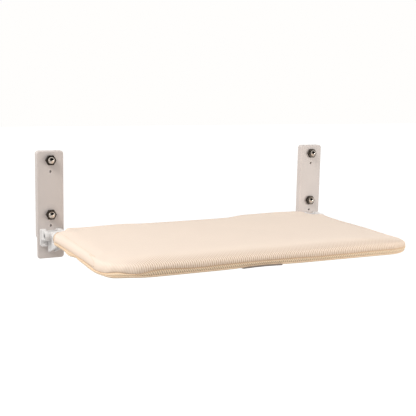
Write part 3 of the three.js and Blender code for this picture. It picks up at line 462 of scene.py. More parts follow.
def repeater():
    """The node group that sets one small form at every vertex, turned by its two ways."""
    group = bpy.data.node_groups.new("repeat", "GeometryNodeTree")
    for name, kind in (("Places", "NodeSocketGeometry"), ("Form", "NodeSocketObject"),
                       ("Finish", "NodeSocketMaterial"), ("Smallest", "NodeSocketFloat"),
                       ("Largest", "NodeSocketFloat"), ("Seed", "NodeSocketInt")):
        group.interface.new_socket(name, in_out="INPUT", socket_type=kind)
    group.interface.new_socket("Copies", in_out="OUTPUT", socket_type="NodeSocketGeometry")
    start = Wire(group)
    given = group.nodes.new("NodeGroupInput")
    inputs = {socket.name: Wire(group, socket) for socket in given.outputs if socket.name}
    ways = [start.node("GeometryNodeInputNamedAttribute", {"data_type": "FLOAT_VECTOR"}, {"Name": way})
            for way in ("ahead", "above")]
    turn = start.node("FunctionNodeAlignRotationToVector", {"axis": "X"}, {"Vector": ways[0]})
    turn = start.node("FunctionNodeAlignRotationToVector", {"axis": "Z", "pivot_axis": "X"},
                      {"Rotation": turn, "Vector": ways[1]})
    form = start.node("GeometryNodeObjectInfo", None, {"Object": inputs["Form"]}, "Geometry")
    scale = start.node("FunctionNodeRandomValue", {"data_type": "FLOAT"}, {
        2: inputs["Smallest"], 3: inputs["Largest"], "Seed": inputs["Seed"]}, 1)
    copies = start.node("GeometryNodeInstanceOnPoints", None, {
        "Points": inputs["Places"], "Instance": form, "Rotation": turn, "Scale": scale})
    copies = start.node("GeometryNodeRealizeInstances", None, {"Geometry": copies})
    copies = start.node("GeometryNodeSetMaterial", None,
                        {"Geometry": copies, "Material": inputs["Finish"]})
    group.links.new(copies.socket, group.nodes.new("NodeGroupOutput").inputs[0])
    return group


repeat_group = repeater()


def repeated(name, form, places, material, body, slot, nodes=(), spread=0.0, seed=1):
    """Copies of a small mesh at places of (point, way ahead, way above), as one piece."""
    shape = bpy.data.objects.new(name + "_form", form)
    collection.objects.link(shape)
    mesh = bpy.data.meshes.new(name)
    mesh.from_pydata([point for point, ahead, above in places], [], [])
    for i, way in ((1, "ahead"), (2, "above")):
        values = mesh.attributes.new(way, "FLOAT_VECTOR", "POINT")
        values.data.foreach_set("vector", [part for place in places for part in place[i]])
    made = placed(name, mesh)
    copies = made.modifiers.new("copies", "NODES")
    copies.node_group = repeat_group
    settings = {"Form": shape, "Finish": material, "Smallest": 1 - spread, "Largest": 1.0, "Seed": seed}
    for socket in repeat_group.interface.items_tree:
        if socket.name in settings:
            copies[socket.identifier] = settings[socket.name]
    settle(made, body, slot, *nodes)
    bpy.data.objects.remove(shape)


def screw_form(length, point_share):
    """Screw along -X from the face under its head, which stands up on the +X side."""
    form = bmesh.new()
    profile = [(0.0001, -length), (screw_radius * point_share, -length + 0.001)]
    threads = int(length / screw_pitch)
    for i in range(threads, 0, -1):
        along = -length * i / (threads + 1)
        profile += [(screw_radius, along), (screw_core, along + screw_crest)]
    profile += [(screw_core, 0)]
    profile += [(screw_head_radius * wide, screw_head_height * high)
                for wide, high in ((1, 0), (1, 0.4), (0.85, 0.8), (0.6, 1))]
    rings = [[form.verts.new((along, radius * math.cos(turn), radius * math.sin(turn)))
              for turn in full_turn(screw_sides)] for radius, along in profile]
    join_rings(form, rings, (0,))
    cross = []
    for quarter in range(4):
        turn = Matrix.Rotation(quarter * math.pi / 2, 3, "X")
        for y, z in ((recess_reach, -recess_half), (recess_reach, recess_half), (recess_half, recess_half)):
            cross.append(turn @ Vector((0, y, z)))
    top = [form.verts.new(point + Vector((screw_head_height, 0, 0))) for point in cross]
    deep = [form.verts.new(point * 0.7 + Vector((screw_head_height * 0.3, 0, 0))) for point in cross]
    for i in range(screw_sides):
        k = (i + 1) % screw_sides
        form.faces.new((top[i], top[k], deep[k], deep[i]))
        form.faces.new((rings[-1][i], rings[-1][k], top[k], top[i]))
    form.faces.new(deep)
    return closed(form, "screw", 40)


hinge_x = 0.258
ear_middle = 0.0138
screw_play = 0.0003
recess_lean = 0.3
bracket_screw_rows = (("upper", 0.0025, 0.0095), ("lower", -0.0065, 0.007))
bracket_screws = []
bracket_nodes = []
for side, sign in (("left", -1), ("right", 1)):
    for place, across in (("outer", sign), ("inner", -sign)):
        for level, height, seat in bracket_screw_rows:
            point = Vector((sign * hinge_x + across * ear_middle, screw_play - seat, height))
            recess_way = Vector((recess_lean * across, 0, 1)).normalized()
            bracket_screws.append((point, Vector((0, 1, 0)), recess_way))
            bracket_nodes.append("%s_bracket_screw_%s_%s" % (side, place, level))
repeated("bracket_screws", screw_form(bracket_screw_length, 0.6), bracket_screws, steel,
         "wall_side", "steel", bracket_nodes)
arm_screw_seat = 0.0063
arm_screw_out = 0.064
arm_screws = [(Vector((sign * (hinge_x - arm_screw_seat), -arm_screw_out, 0)), Vector((-sign, 0, 0)),
               Vector((0, 0.2, 1)).normalized()) for sign in (-1, 1)]
repeated("arm_screws", screw_form(arm_screw_length, 0.9), arm_screws, steel,
         "shelf", "steel", ("left_arm_screw", "right_arm_screw"))

# Hinges
# Satin white moulded brackets with two round-nosed ears and a notch between them, knuckles with
# ribbed heels, and thrust washers. Moulded edges are slightly rounded.
ear_notch_reach = Vector((0.0085, 0.03, 0.01))
ear_notch_out = 0.02
ear_notch_foot = 0.0055
hinge_plastic = finished("hinge_plastic", plastic((0.84, 0.82, 0.81), grain=1500, depth=0.00006,
                                                  rough=0.32))
for side, sign in (("left", -1), ("right", 1)):
    form = bmesh.new()
    middle = Vector((sign * hinge_x, -ear_notch_out, ear_notch_foot + ear_notch_reach.z))
    bmesh.ops.create_cube(form, size=2, matrix=Matrix.LocRotScale(middle, None, ear_notch_reach))
    notch = placed("notch", mesh_of(form, "notch"))
    refined(side + "_hinge_bracket", hinge_plastic, "hinge", 0.0003, cut=notch)
    bpy.data.objects.remove(notch)
    for part, edge in (("knuckle", 0.0003), ("thrust_washer_outer", 0.0002),
                       ("thrust_washer_inner", 0.0002)):
        refined("%s_%s" % (side, part), hinge_plastic, "hinge", edge)

# Frame
# Steel tube, bent round the sides and the front, with a lighter bow behind and a brace between
# them. They are welded, and finished in white powder coat with a slight orange peel.
powder = finished("powder_coat", coated((0.80, 0.79, 0.76), (0.85, 0.84, 0.81), 700, 1, 0.3, 0.36, 0.08,
                                        {"Coat Weight": 0.2}))
for node in ("frame_rail", "rear_bow", "centre_brace"):
    refined(node, powder, "tube", 0, 50)


# Foam
# One slab of cream open-cell foam, cut from a block and crowned like the cover. It fills the
# frame, and the taut cover presses its upper side a little flatter.
def open_cells(start):
    cells = start.node("ShaderNodeTexVoronoi", None, {"Vector": start.spot(), "Scale": 900})
    return start.surface({
        "Base Color": cells.step(0.1, 0.6).blend((0.66, 0.60, 0.44), (0.88, 0.84, 0.70)),
        "Roughness": 0.95, "Normal": cells.relief(0.6, 0.0006)})


foam_pressed = 0.85
foam = refined("foam_pad", finished("open_cells", open_cells), "foam", 0.002)
for point in foam.data.vertices:
    if point.co.z > 0:
        point.co.z *= foam_pressed

# Padded cover: its shape
# A sewn bag of knitted air mesh, pulled over the frame and its foam: a top panel that rolls over the
# edge, a side band, and a flat bottom panel with a slot for the zip. It is notched for the hinges.
shelf_half = 0.268
shelf_front = 0.326
shelf_rear = 0.018
half_thick = 0.010
crown = 0.0032
draw_in = 0.0015
front_corner = 0.058
right_hinge_corner = 0.017
left_hinge_corner = 0.024
notch_corner = 0.005
notch_out = 0.0456
notch_x = 0.2392
rear_corner = 0.012
roll_inset = 0.010
edge_spacing = 0.0042
grid_spacing = 0.006
grid_gap = 0.0035
slot_half = 0.190
slot_out = 0.092
slot_width = 0.008
slot_corner = 0.002
slot_gap = 0.003


def arc(x, out, radius, start, end, steps):
    """Points of an arc in plan, with its start and end in quarter turns."""
    turns = [(start + (end - start) * i / steps) * math.pi / 2 for i in range(steps + 1)]
    return [Vector((x + radius * math.cos(turn), radius * math.sin(turn) - out)) for turn in turns]


def drawn(start, end, steps):
    """Points between two corners, with the edge drawn in most at its middle."""
    along = end - start
    inward = Vector((-along.y, along.x)).normalized()
    shares = [i / steps for i in range(1, steps)]
    return [start + along * share + inward * draw_in * (1 - (2 * share - 1) ** 2) for share in shares]


def half_outline(hinge_corner):
    """The right half of the cover's edge, from its front corner round the notch for the hinge."""
    front = arc(shelf_half - front_corner, shelf_front - front_corner, front_corner, 3, 4, 24)
    rear = arc(shelf_half - hinge_corner, notch_out + hinge_corner, hinge_corner, 0, 1, 12)
    rear += arc(notch_x + notch_corner, notch_out - notch_corner, notch_corner, 3, 2, 8)
    rear += arc(notch_x - rear_corner, shelf_rear + rear_corner, rear_corner, 0, 1, 10)
    return front + drawn(front[-1], rear[0], 20) + rear


def cover_outline():
    right = half_outline(right_hinge_corner)
    left = [Vector((-point.x, point.y)) for point in reversed(half_outline(left_hinge_corner))]
    return right + drawn(right[-1], left[0], 40) + left + drawn(left[-1], right[0], 40)


def resampled(points, spacing):
    """The same closed line with points evenly spaced along it."""
    ends = points[1:] + points[:1]
    lengths = [(b - a).length for a, b in zip(points, ends)]
    count = round(sum(lengths) / spacing)
    wanted = sum(lengths) / count
    made = []
    behind = 0.0
    for a, b, length in zip(points, ends, lengths):
        while len(made) < count and len(made) * wanted < behind + length:
            made.append(a.lerp(b, (len(made) * wanted - behind) / length))
        behind += length
    return made, wanted


edge_line, edge_step = resampled(cover_outline(), edge_spacing)
columns = len(edge_line)
outward = []
for j in range(columns):
    along = (edge_line[(j + 1) % columns] - edge_line[j - 1]).normalized()
    outward.append(Vector((along.y, -along.x)))


def inside_points(ring):
    """Grid points inside a closed line, with a gap left along it."""
    reach = [max(abs(point[axis]) for point in ring) for axis in (0, 1)]
    made = []
    for i in range(-int(reach[0] / grid_spacing), int(reach[0] / grid_spacing) + 1):
        for k in range(-int(reach[1] / grid_spacing), 1):
            point = Vector((i * grid_spacing, k * grid_spacing))
            crossings = 0
            nearest = 1.0
            for a, b in zip(ring, ring[1:] + ring[:1]):
                nearest = min(nearest, (a - point).length)
                if (a.y > point.y) != (b.y > point.y):
                    crossings += point.x < a.x + (b.x - a.x) * (point.y - a.y) / (b.y - a.y)
            if crossings % 2 and nearest > grid_gap:
                made.append(point)
    return made


class Bag:
    """The cover's skin as it is built up: points, and faces with their weave and panel."""

    def __init__(self):
        self.points = []
        self.faces = []
        self.weaves = []
        self.panels = []
        self.held = []

    def ring(self, inset, height, hold):
        first = len(self.points)
        for point, way in zip(edge_line, outward):
            place = point - way * inset
            self.points.append((place.x, place.y, height))
            self.held.append(hold)
        return first

    def strip(self, upper, lower, weave_upper, weave_lower, panel):
        for j in range(columns):
            k = (j + 1) % columns
            self.faces.append((upper + j, lower + j, lower + k, upper + k))
            self.weaves.append((weave_upper(j), weave_lower(j), weave_lower(j + 1), weave_upper(j + 1)))
            self.panels.append(panel)

    def fill(self, first, height_at, hold, panel, up, loop=()):
        """Closes a ring with a flat panel, leaving the space inside the loop open."""
        ring = [Vector(self.points[first + j][:2]) for j in range(columns)]
        inner = [point for point in inside_points(ring)
                 if all((point - corner).length > slot_gap for corner in loop)]
        edges = [(columns + i, columns + (i + 1) % len(loop)) for i in range(len(loop))]
        flat, _, triangles, origins, _, _ = delaunay_2d_cdt(
            ring + list(loop) + inner, edges, [list(range(columns))], 1, 0.00001)
        index = {}
        for i, point in enumerate(flat):
            origin = [o for o in origins[i] if o < columns]
            if origin:
                index[i] = first + origin[0]
            else:
                index[i] = len(self.points)
                self.points.append((point.x, point.y, height_at(point)))
                self.held.append(hold)
        for corners in triangles:
            middle = sum((flat[i] for i in corners), Vector((0, 0))) / 3
            if loop and abs(middle.x) < slot_half and abs(middle.y + slot_out) < slot_width / 2:
                continue
            ordered = corners if up else list(reversed(corners))
            self.faces.append(tuple(index[i] for i in ordered))
            self.weaves.append(tuple((flat[i].x, flat[i].y) for i in ordered))
            self.panels.append(panel)


def plan_weave(inset, beyond):
    """Weave places on a panel that was cut flat: the outline's points, moved out along it."""
    def at(j):
        place = edge_line[j % columns] - outward[j % columns] * (inset - beyond)
        return (place.x, place.y)
    return at


def band_weave(height):
    return lambda j: (j * edge_step, height)


TOP, BAND, BOTTOM = 0, 1, 2
band_foot = 0.0074
roll_profile = ((0.0070, 0.0097), (0.0042, 0.0088), (0.0019, 0.0071), (0.0005, 0.0048),
                (0.0001, 0.0027), (0.0005, 0.0010), (0.0014, 0.0001))
band_profile = ((0.0008, -0.0010), (0.0004, -0.0027), (0.0003, -0.0046), (0.0009, -0.0063),
                (0.0021, -band_foot))
hem_profile = ((0.0034, -0.0088), (0.0060, -0.0100))
band_hold = 0.05
bag = Bag()
top_ring = bag.ring(roll_inset, half_thick, 0)
upper, inset, height = top_ring, roll_inset, half_thick
for index, profile, hold, weave_at in (
        (TOP, roll_profile, 0, lambda inset, run: plan_weave(roll_inset, run)),
        (BAND, band_profile, band_hold, lambda inset, run: band_weave(-run)),
        (BOTTOM, hem_profile, 1, lambda inset, run: plan_weave(inset, 0))):
    run = 0.0
    for place in profile:
        lower = bag.ring(*place, 1 if place == roll_profile[-1] else hold)
        further = run + math.hypot(place[0] - inset, place[1] - height)
        bag.strip(upper, lower, weave_at(inset, run), weave_at(place[0], further), index)
        upper, run = lower, further
        inset, height = place


def slot_outline():
    half = slot_width / 2
    steps = round((slot_half - slot_corner) * 2 / grid_spacing)
    run = [slot_half - slot_corner - 2 * (slot_half - slot_corner) * i / steps for i in range(steps + 1)]
    corner = [(slot_half, half - slot_corner), (slot_half, slot_corner - half)]
    right = [(x, half) for x in run]
    left = [(-x, -half) for x in run]
    loop = right + [(-x, y) for x, y in corner] + left + [(x, -y) for x, y in corner]
    return [Vector((x, y - slot_out)) for x, y in loop]


def crown_height(point):
    """The foam's own crown, before the cloth swells over it."""
    across = min(1.0, abs(point.x) / shelf_half)
    along = min(1.0, abs(2 * point.y + shelf_front + shelf_rear) / (shelf_front - shelf_rear))
    return half_thick + crown * (1 - across ** 4) * (1 - along ** 4)


bag.fill(top_ring, crown_height, 0, TOP, True)
bag.fill(upper, lambda point: -half_thick, 1, BOTTOM, False, slot_outline())

bag_mesh = bpy.data.meshes.new("bag")
bag_mesh.from_pydata(bag.points, [], bag.faces)
weave = bag_mesh.uv_layers.new(name="weave")
corner_weaves = [value for corners in bag.weaves for value in corners]
weave.data.foreach_set("uv", [part for value in corner_weaves for part in value])
bag_mesh.polygons.foreach_set("material_index", bag.panels)
form = bmesh.new()
form.from_mesh(bag_mesh)
triangles = [face for face in form.faces if len(face.verts) == 3]
bmesh.ops.join_triangles(form, faces=triangles, cmp_materials=True,
                         angle_face_threshold=math.radians(20), angle_shape_threshold=math.radians(30))
form.to_mesh(bag_mesh)
form.free()
pad = placed("pad", bag_mesh)


def swell(piece, held, pressure, most):
    """Blows the piece up between its held points. Points move along their normals, up to the cap."""
    group = piece.vertex_groups.new(name="held")
    for i, weight in enumerate(held):
        if weight:
            group.add([i], weight, "REPLACE")
    cloth = piece.modifiers.new("swell", "CLOTH")
    cloth.settings.quality = 6
    cloth.settings.mass = 0.3
    cloth.settings.tension_stiffness = 20
    cloth.settings.compression_stiffness = 20
    cloth.settings.shear_stiffness = 10
    cloth.settings.bending_stiffness = 1.5
    cloth.settings.use_pressure = True
    cloth.settings.uniform_pressure_force = pressure
    cloth.settings.vertex_group_mass = "held"
    cloth.settings.effector_weights.gravity = 0
    cloth.point_cache.frame_start = 1
    cloth.point_cache.frame_end = 20
    for moment in range(1, 21):
        scene.frame_set(moment)
    graph = bpy.context.evaluated_depsgraph_get()
    swollen = [point.co.copy() for point in piece.evaluated_get(graph).data.vertices]
    piece.modifiers.remove(cloth)
    scene.frame_set(1)
    moves = []
    for point, place in zip(piece.data.vertices, swollen):
        rise = max(0.0, (place - point.co).dot(point.normal))
        moves.append(point.normal * most * (1 - math.exp(-rise / most)))
    for point, move in zip(piece.data.vertices, moves):
        point.co += move


swell(pad, bag.held, pressure=4, most=0.0028)

# Padded cover: how it lies
# The mesh is not quite taut. The rear edge rises where the foam is pushed back, the seam wanders,
# the left side hangs over its band, and the front corners pucker where they are gathered.

# Each row of swells or waves gives the place, the width and the rise of one. A pair of distances
# says where something begins and where it is full.
tab_x = -0.025
rear_level = -0.0009
rear_swells = ((-0.222, 0.030, -0.0009), (-0.140, 0.024, 0.0020), (0.100, 0.026, 0.0024),
               (0.158, 0.062, 0.0066), (0.225, 0.024, 0.0024), (0.259, 0.020, 0.0062))
seam_level = -0.0012
seam_waves = ((-0.224, 0.018, -0.0032), (-0.190, 0.028, 0.0018), (-0.130, 0.024, -0.0010),
              (-0.031, 0.030, 0.0004), (0.074, 0.030, -0.0012), (0.130, 0.025, -0.0009))
side_waves = ((0.140, 0.016, -0.0026), (0.178, 0.012, 0.0014), (0.245, 0.020, -0.0010))
foot_waves = ((-0.258, 0.012, -0.0016), (-0.228, 0.020, 0.0008), (tab_x, 0.040, 0.0016),
              (0.262, 0.010, 0.0014))
front_from = (0.28, 0.31)
left_side_from = (0.24, 0.264)
edge_fade = 0.035
roll_top = 0.008
side_drop = 0.0050
drop_from = (0.247, 0.263)
right_droop = 0.0016
right_front_droop = 0.0019
droop_from = (0.19, 0.26)
corner_lift = 0.0030
corner_x, corner_y = -0.238, -0.035
corner_width, corner_depth = 0.018, 0.028
left_slump = 0.0012
slump_from = (0.252, 0.268)
slump_to = (0.08, 0.13)
seam_height = 0.0003
seam_half = 0.0035
seam_from = (0.24, 0.26)
mottle_rise = 0.0006
mottle_pace = 11
right_nose = 0.0028
nose_height = -0.0015
nose_half = 0.006
nose_from = (0.22, 0.26)
nose_side_from = (0.24, 0.268)
nose_front_from = (0.29, 0.326)
gather_rise = 0.0006
gather_pace = 0.0031
gather_shares = ((1, 0.2), (2, 0.5), (3, 0.8), (4, 1), (5, 0.8), (6, 0.4))


def bumps(x, rows):
    return sum(rise * math.exp(-((x - place) / width) ** 2) for place, width, rise in rows)


def rising(low, high, value):
    """0 below low and 1 above high, with a smooth rise between them."""
    share = min(1.0, max(0.0, (value - low) / (high - low)))
    return share * share * (3 - 2 * share)


def foot_rise(x, y):
    """How far the lower seam wanders up or down."""
    front = rising(*front_from, -y)
    side = rising(*left_side_from, -x) * (1 - front)
    return side * bumps(-y, side_waves) + front * bumps(x, foot_waves)


def dropped(x, z):
    """On the left the top panel hangs over the side and squeezes the band below it."""
    drop = side_drop * rising(*drop_from, -x)
    if z > roll_top:
        return 0.0
    if z > 0:
        return drop * (roll_top - z) / roll_top
    return drop * max(0.0, 1 + z / band_foot)


def settled_rise(x, y, z):
    """How far a point of the cover lies above its place on a taut one."""
    up = min(1.0, max(0.0, z / half_thick))
    down = min(1.0, max(0.0, -z / band_foot))
    behind = math.exp(-((y + shelf_rear) / edge_fade) ** 2)
    droop = right_droop + right_front_droop * rising(*droop_from, -y)
    at_right = math.exp(-((x - shelf_half) / edge_fade) ** 2) * droop
    corner = corner_lift * math.exp(-((x - corner_x) / corner_width) ** 2
                                    - ((y - corner_y) / corner_depth) ** 2)
    slump = left_slump * rising(*slump_from, -x) * (1 - rising(*slump_to, -y))
    crease = math.exp(-((z - seam_height) / seam_half) ** 2) * rising(*seam_from, -y)
    mottle = noise.noise(Vector((x * mottle_pace, y * mottle_pace, 0))) * mottle_rise
    top = behind * (rear_level + bumps(x, rear_swells)) - at_right + corner - slump + mottle
    return (up * top + down * foot_rise(x, y) - dropped(x, z)
            + crease * (seam_level + bumps(x, seam_waves)))


for point in bag_mesh.vertices:
    x, y, z = point.co
    nose = right_nose * rising(*nose_from, x) * math.exp(-((z - nose_height) / nose_half) ** 2)
    point.co.x += nose * rising(*nose_side_from, x)
    point.co.y -= nose * rising(*nose_front_from, -y)
    point.co.z += settled_rise(x, y, z)
for j, spot in enumerate(edge_line):
    if abs(spot.x) > shelf_half - front_corner and spot.y < front_corner - shelf_front:
        gather = gather_rise * math.sin(j * edge_step / gather_pace)
        for ring, share in gather_shares:
            point = bag_mesh.vertices[top_ring + ring * columns + j]
            point.co += Vector((outward[j].x, outward[j].y, 0.5)) * gather * share

# Padded cover: its fabric
# Beige spacer mesh, knitted with staggered oval holes between slanting ribs. Foam shows cream
# through the top panel and grey through the open band, both with painted shade in the holes.
# Painted shade warms the seam's crease and the band's foot. The woven binding has no holes.
wale_pitch = 0.0034
course_pitch = 0.0075
flat_pull = 0.03
left_pull = 0.25
pull_front_from = (0.284, 0.321)
pull_right_from = (-0.245, -0.200)
cover_thick = 0.0008
opening_radius = 0.0078
opening_out = 0.0450
opening_depth = 0.030


def air_mesh(thread, shade, through_and_hole_shade, slant):
    """Oval holes in slanting wales. They open where the cloth is stretched over an edge."""
    def surface_of(start):
        place = start.on_cloth()
        wale = (place.axis("X") + place.axis("Y") * slant) * (2 * math.pi / wale_pitch)
        course = place.axis("Y") * (2 * math.pi / course_pitch)
        stagger = start.maths("COSINE", wale * 0.5) * start.maths("COSINE", course)
        wave = start.maths("COSINE", wale) + stagger * 0.35
        stretch = start.node("ShaderNodeAttribute", {"attribute_name": "stretch"}, output="Fac")
        hole = wave.step(-0.3, 0.8) * stretch
        yarn = start.maths("SINE", wale * 6 + course).step(-0.9, 0.9)
        # The crease mark blends in the shade colour: painted shade in the seam's crease and at the band's
        # foot.
        crease = start.node("ShaderNodeAttribute", {"attribute_name": "crease"}, output="Fac")
        knit = yarn.blend(darker(thread, 0.93), thread)
        knit = place.mottle(16, 3).step(0.25, 0.8).blend(darker(thread, 0.95), knit)
        return start.surface({
            "Base Color": crease.blend(hole.blend(knit, through_and_hole_shade), shade),
            "Roughness": 0.88 + hole * 0.1, "Normal": (yarn * 0.15 - hole).relief(0.6, 0.0006),
            "Sheen Weight": 0.1, "Sheen Roughness": 0.6, "Specular IOR Level": 0.2})
    return surface_of


def woven(thread, shade, pitch):
    """Plain weave, with a faint cloud in its dye."""
    def surface_of(start):
        place = start.on_cloth()
        rib = (start.maths("SINE", place.axis("X") * (2 * math.pi / pitch))
               * start.maths("SINE", place.axis("Y") * (2 * math.pi / pitch)))
        tone = rib.step(-0.7, 0.7).blend(shade, thread)
        return start.surface({
            "Base Color": place.mottle(60, 3).step(0.25, 0.75).blend(darker(thread, 0.9), tone),
            "Roughness": 0.85, "Normal": rib.relief(0.5, 0.0002), "Specular IOR Level": 0.3})
    return surface_of


# Second colour: painted shade for the seam's crease. Third: what shows through the holes, with painted
# shade in them.
top_mesh = finished("top_mesh", air_mesh((0.96, 0.81, 0.69), (0.76, 0.51, 0.31), (0.66, 0.48, 0.34), 0.05))
band_mesh = finished("band_mesh", air_mesh((1.0, 0.79, 0.565), (0.76, 0.51, 0.31), (0.56, 0.42, 0.295),
                                           0.50))
# Shares of painted shade on each ring, from the top panel's edge down to the foot of the band.
painted_shade_shares = (0, 0, 0, 0, 0.06, 0.16, 0.28, 0.75, 0.2, 0, 0, 0, 0.25)
painted_crease_shade = [0.0] * len(bag_mesh.vertices)
for ring, share in enumerate(painted_shade_shares):
    for j in range(columns):
        painted_crease_shade[top_ring + ring * columns + j] = share


def pulled_open(x, y):
    """How far the holes open: a little on the flat, and most along the right of the front edge."""
    edge = left_pull + (1 - left_pull) * rising(*pull_right_from, x)
    return flat_pull + (1 - flat_pull) * rising(*pull_front_from, -y) * edge


bag_mesh.attributes.new("crease", "FLOAT", "POINT").data.foreach_set("value", painted_crease_shade)
bag_mesh.attributes.new("stretch", "FLOAT", "POINT").data.foreach_set(
    "value", [pulled_open(point.co.x, point.co.y) for point in bag_mesh.vertices])

# Two round bars cut the hinge corners, where the tubes leave the cover.
form = bmesh.new()
for sign in (-1, 1):
    middle = Matrix.Translation((sign * hinge_x, -opening_out, 0)) @ Matrix.Rotation(math.pi / 2, 4, "X")
    bmesh.ops.create_cone(form, cap_ends=True, segments=40, radius1=opening_radius,
                          radius2=opening_radius, depth=opening_depth, matrix=middle)
bars = placed("cutter", mesh_of(form, "cutter"))


def panel(name, index, material):
    """One panel of the cover as a closed sheet with its openings cut."""
    form = bmesh.new()
    form.from_mesh(bag_mesh)
    bmesh.ops.delete(form, geom=[face for face in form.faces if face.material_index != index],
                     context="FACES")
    for face in form.faces:
        face.material_index = 0
    made = placed(name, mesh_of(form, name), material)
    smooth = made.modifiers.new("smooth", "SUBSURF")
    smooth.levels = 1
    smooth.render_levels = 1
    sheet = made.modifiers.new("sheet", "SOLIDIFY")
    sheet.thickness = cover_thick
    sheet.offset = -1
    carve(made, bars)
    return made


top_panel = panel("cover_top_panel", TOP, top_mesh)
band_panel = panel("cover_side_band", BAND, band_mesh)
bottom_panel = panel("cover_bottom_panel", BOTTOM, top_mesh)
for made, slot, node in ((top_panel, "mesh", "cover_top"), (band_panel, "band", "cover_band"),
                         (bottom_panel, "mesh", "cover_bottom")):
    settle(made, "shelf", slot, node)
    soften(made.data, 50)
skin = BVHTree.FromObject(pad, bpy.context.evaluated_depsgraph_get())
bpy.data.objects.remove(bars)
bpy.data.objects.remove(pad)

# Padded cover: binding, hems and stitches
# A folded tape is sewn over the lower seam, a rolled hem runs round each opening for a tube, and
# a row of lockstitches holds each of them and the edge of the zip's slot.
binding_section = ((-0.0042, -0.0003), (-0.0016, 0.0012), (-0.0002, 0.0010), (0.0002, 0.0002),
                   (0.0001, -0.0009), (-0.0008, -0.0016), (-0.0045, -0.0013))
binding_inset = 0.0008
binding_drop = 0.0080
binding_pitch = 0.0008
binding_puff = 0.0003
hem_radius = 0.0007
hem_rise = 0.0002
hem_gap = 0.0006
hem_stitch_gap = 0.0022
slot_stitch_gap = 0.0025
slot_stitch_spread = 1.7
slot_stitch_height = -0.01005
stitch_spacing = 0.0034
stitch_profile = ((-1, -0.6, 0.5), (-0.6, 0.35, 0.9), (0, 0.6, 1), (0.6, 0.35, 0.9), (1, -0.6, 0.5))
binding_weave = finished("binding_weave", woven((0.97, 0.77, 0.57), (0.88, 0.66, 0.47), 0.0009))
binding_line = [(Vector((point.x, point.y, foot_rise(*point) - binding_drop)) - way.to_3d() * binding_inset,
                 way.to_3d()) for point, way in zip(edge_line, outward)]
form = bmesh.new()
layer = form.loops.layers.uv.new("weave")
join_rings(form, [[form.verts.new(point + way * out + Vector((0, 0, up))) for out, up in binding_section]
                  for point, way in binding_line], ())
faces = iter(form.faces)
sewn = 0.0
for (point, _), (next_point, _) in zip(binding_line, binding_line[1:] + binding_line[:1]):
    further = sewn + (next_point - point).length
    for i in range(len(binding_section)):
        corners = ((sewn, i), (sewn, i + 1), (further, i + 1), (further, i))
        for loop, (along, across) in zip(next(faces).loops, corners):
            loop[layer].uv = (along, across * binding_pitch)
    sewn = further
binding = placed("cover_binding", closed(form, "cover_binding", 80), binding_weave)
settle(binding, "shelf", "band")


def stitch_form(length, thick):
    """One stitch lying along X: a short thread that dips into the cloth at both ends."""
    form = bmesh.new()
    join_rings(form, [[form.verts.new((share * length / 2, math.cos(turn) * thick / 2 * wide,
                                       (rise + math.sin(turn) * wide) * thick / 2))
                       for turn in full_turn(5)] for share, rise, wide in stitch_profile])
    return closed(form, "stitch", 80)


def stitch_row(line, spacing, around=True):
    """Stitch places every so far along a line of (point, way out of the cloth)."""
    made = []
    behind = 0.0
    wanted = 0.0
    for (a, out_a), (b, out_b) in zip(line, line[1:] + line[:1] if around else line[1:]):
        length = (b - a).length
        while wanted < behind + length:
            share = (wanted - behind) / length
            made.append((a.lerp(b, share), (b - a).normalized(), out_a.lerp(out_b, share).normalized()))
            wanted += spacing
        behind += length
    return made


def opening_line(sign, radius):
    """Where the skin meets a round opening: points and the ways out of the skin there."""
    made = []
    for turn in full_turn(40):
        start = Vector((sign * (hinge_x + radius * math.cos(turn)), 0.02, radius * math.sin(turn)))
        hit, normal, _, _ = skin.ray_cast(start, Vector((0, -1, 0)))
        if hit:
            made.append((hit, normal))
    return made


def dyed(shade, tone, scale, rough):
    """Thread or nylon whose dye has taken a little unevenly."""
    def surface_of(start):
        cloud = start.spot().mottle(scale)
        return start.surface({
            "Base Color": cloud.step(0.3, 0.7).blend(shade, tone), "Roughness": rough})
    return surface_of


stitches = stitch_row([(point + way * binding_puff + Vector((0, 0, binding_puff)), way)
                       for point, way in binding_line], stitch_spacing)
for side, sign in (("left", -1), ("right", 1)):
    centre = Vector((sign * hinge_x, 0, 0))
    form = bmesh.new()
    rings = []
    for point, normal in opening_line(sign, opening_radius + hem_gap):
        away = Vector((point.x - centre.x, 0, point.z)).normalized()
        rings.append([form.verts.new(point + away * (hem_radius * math.cos(turn))
                                     + normal * (hem_radius * math.sin(turn) + hem_rise))
                      for turn in full_turn(6)])
    join_rings(form, rings, ())
    hem_mesh = closed(form, side + "_hem", 80)
    hem_mesh.uv_layers.new(name="weave")
    settle(placed(side + "_opening_hem", hem_mesh, binding_weave), "shelf", "band")
    stitches += stitch_row(opening_line(sign, opening_radius + hem_stitch_gap), stitch_spacing)
slot_seam = [(Vector((x * (1 + slot_stitch_gap / slot_half),
                      (y + slot_out) * slot_stitch_spread - slot_out, slot_stitch_height)),
              Vector((0, 0, -1))) for x, y in slot_outline()]
stitches += stitch_row(slot_seam, stitch_spacing)
thread_finish = finished("thread", dyed((0.74, 0.58, 0.42), (0.88, 0.74, 0.58), 800, 0.7))
repeated("cover_stitches", stitch_form(length=0.0026, thick=0.0006), stitches, thread_finish,
         "shelf", "band", spread=0.12, seed=3)

# Front tab
# A short strip of dark ribbed webbing under the front edge, held by a box of stitches. Its front
# end is turned up over the binding.
tab_half = 0.032
tab_thick = 0.0010
tab_rear = 0.3025
tab_under = -0.0101
tab_path = ((tab_rear, tab_under), (0.3130, tab_under), (0.3195, tab_under), (0.3240, -0.0099),
            (0.3256, -0.0092), (0.3257, -0.0083))
tab_box_half = tab_half - 0.004
tab_box_outs = (0.3165, 0.3165, 0.3055, 0.3055)
tab_stitch_spacing = 0.0030
webbing_rib = 0.0016
webbing_pick = 0.0011


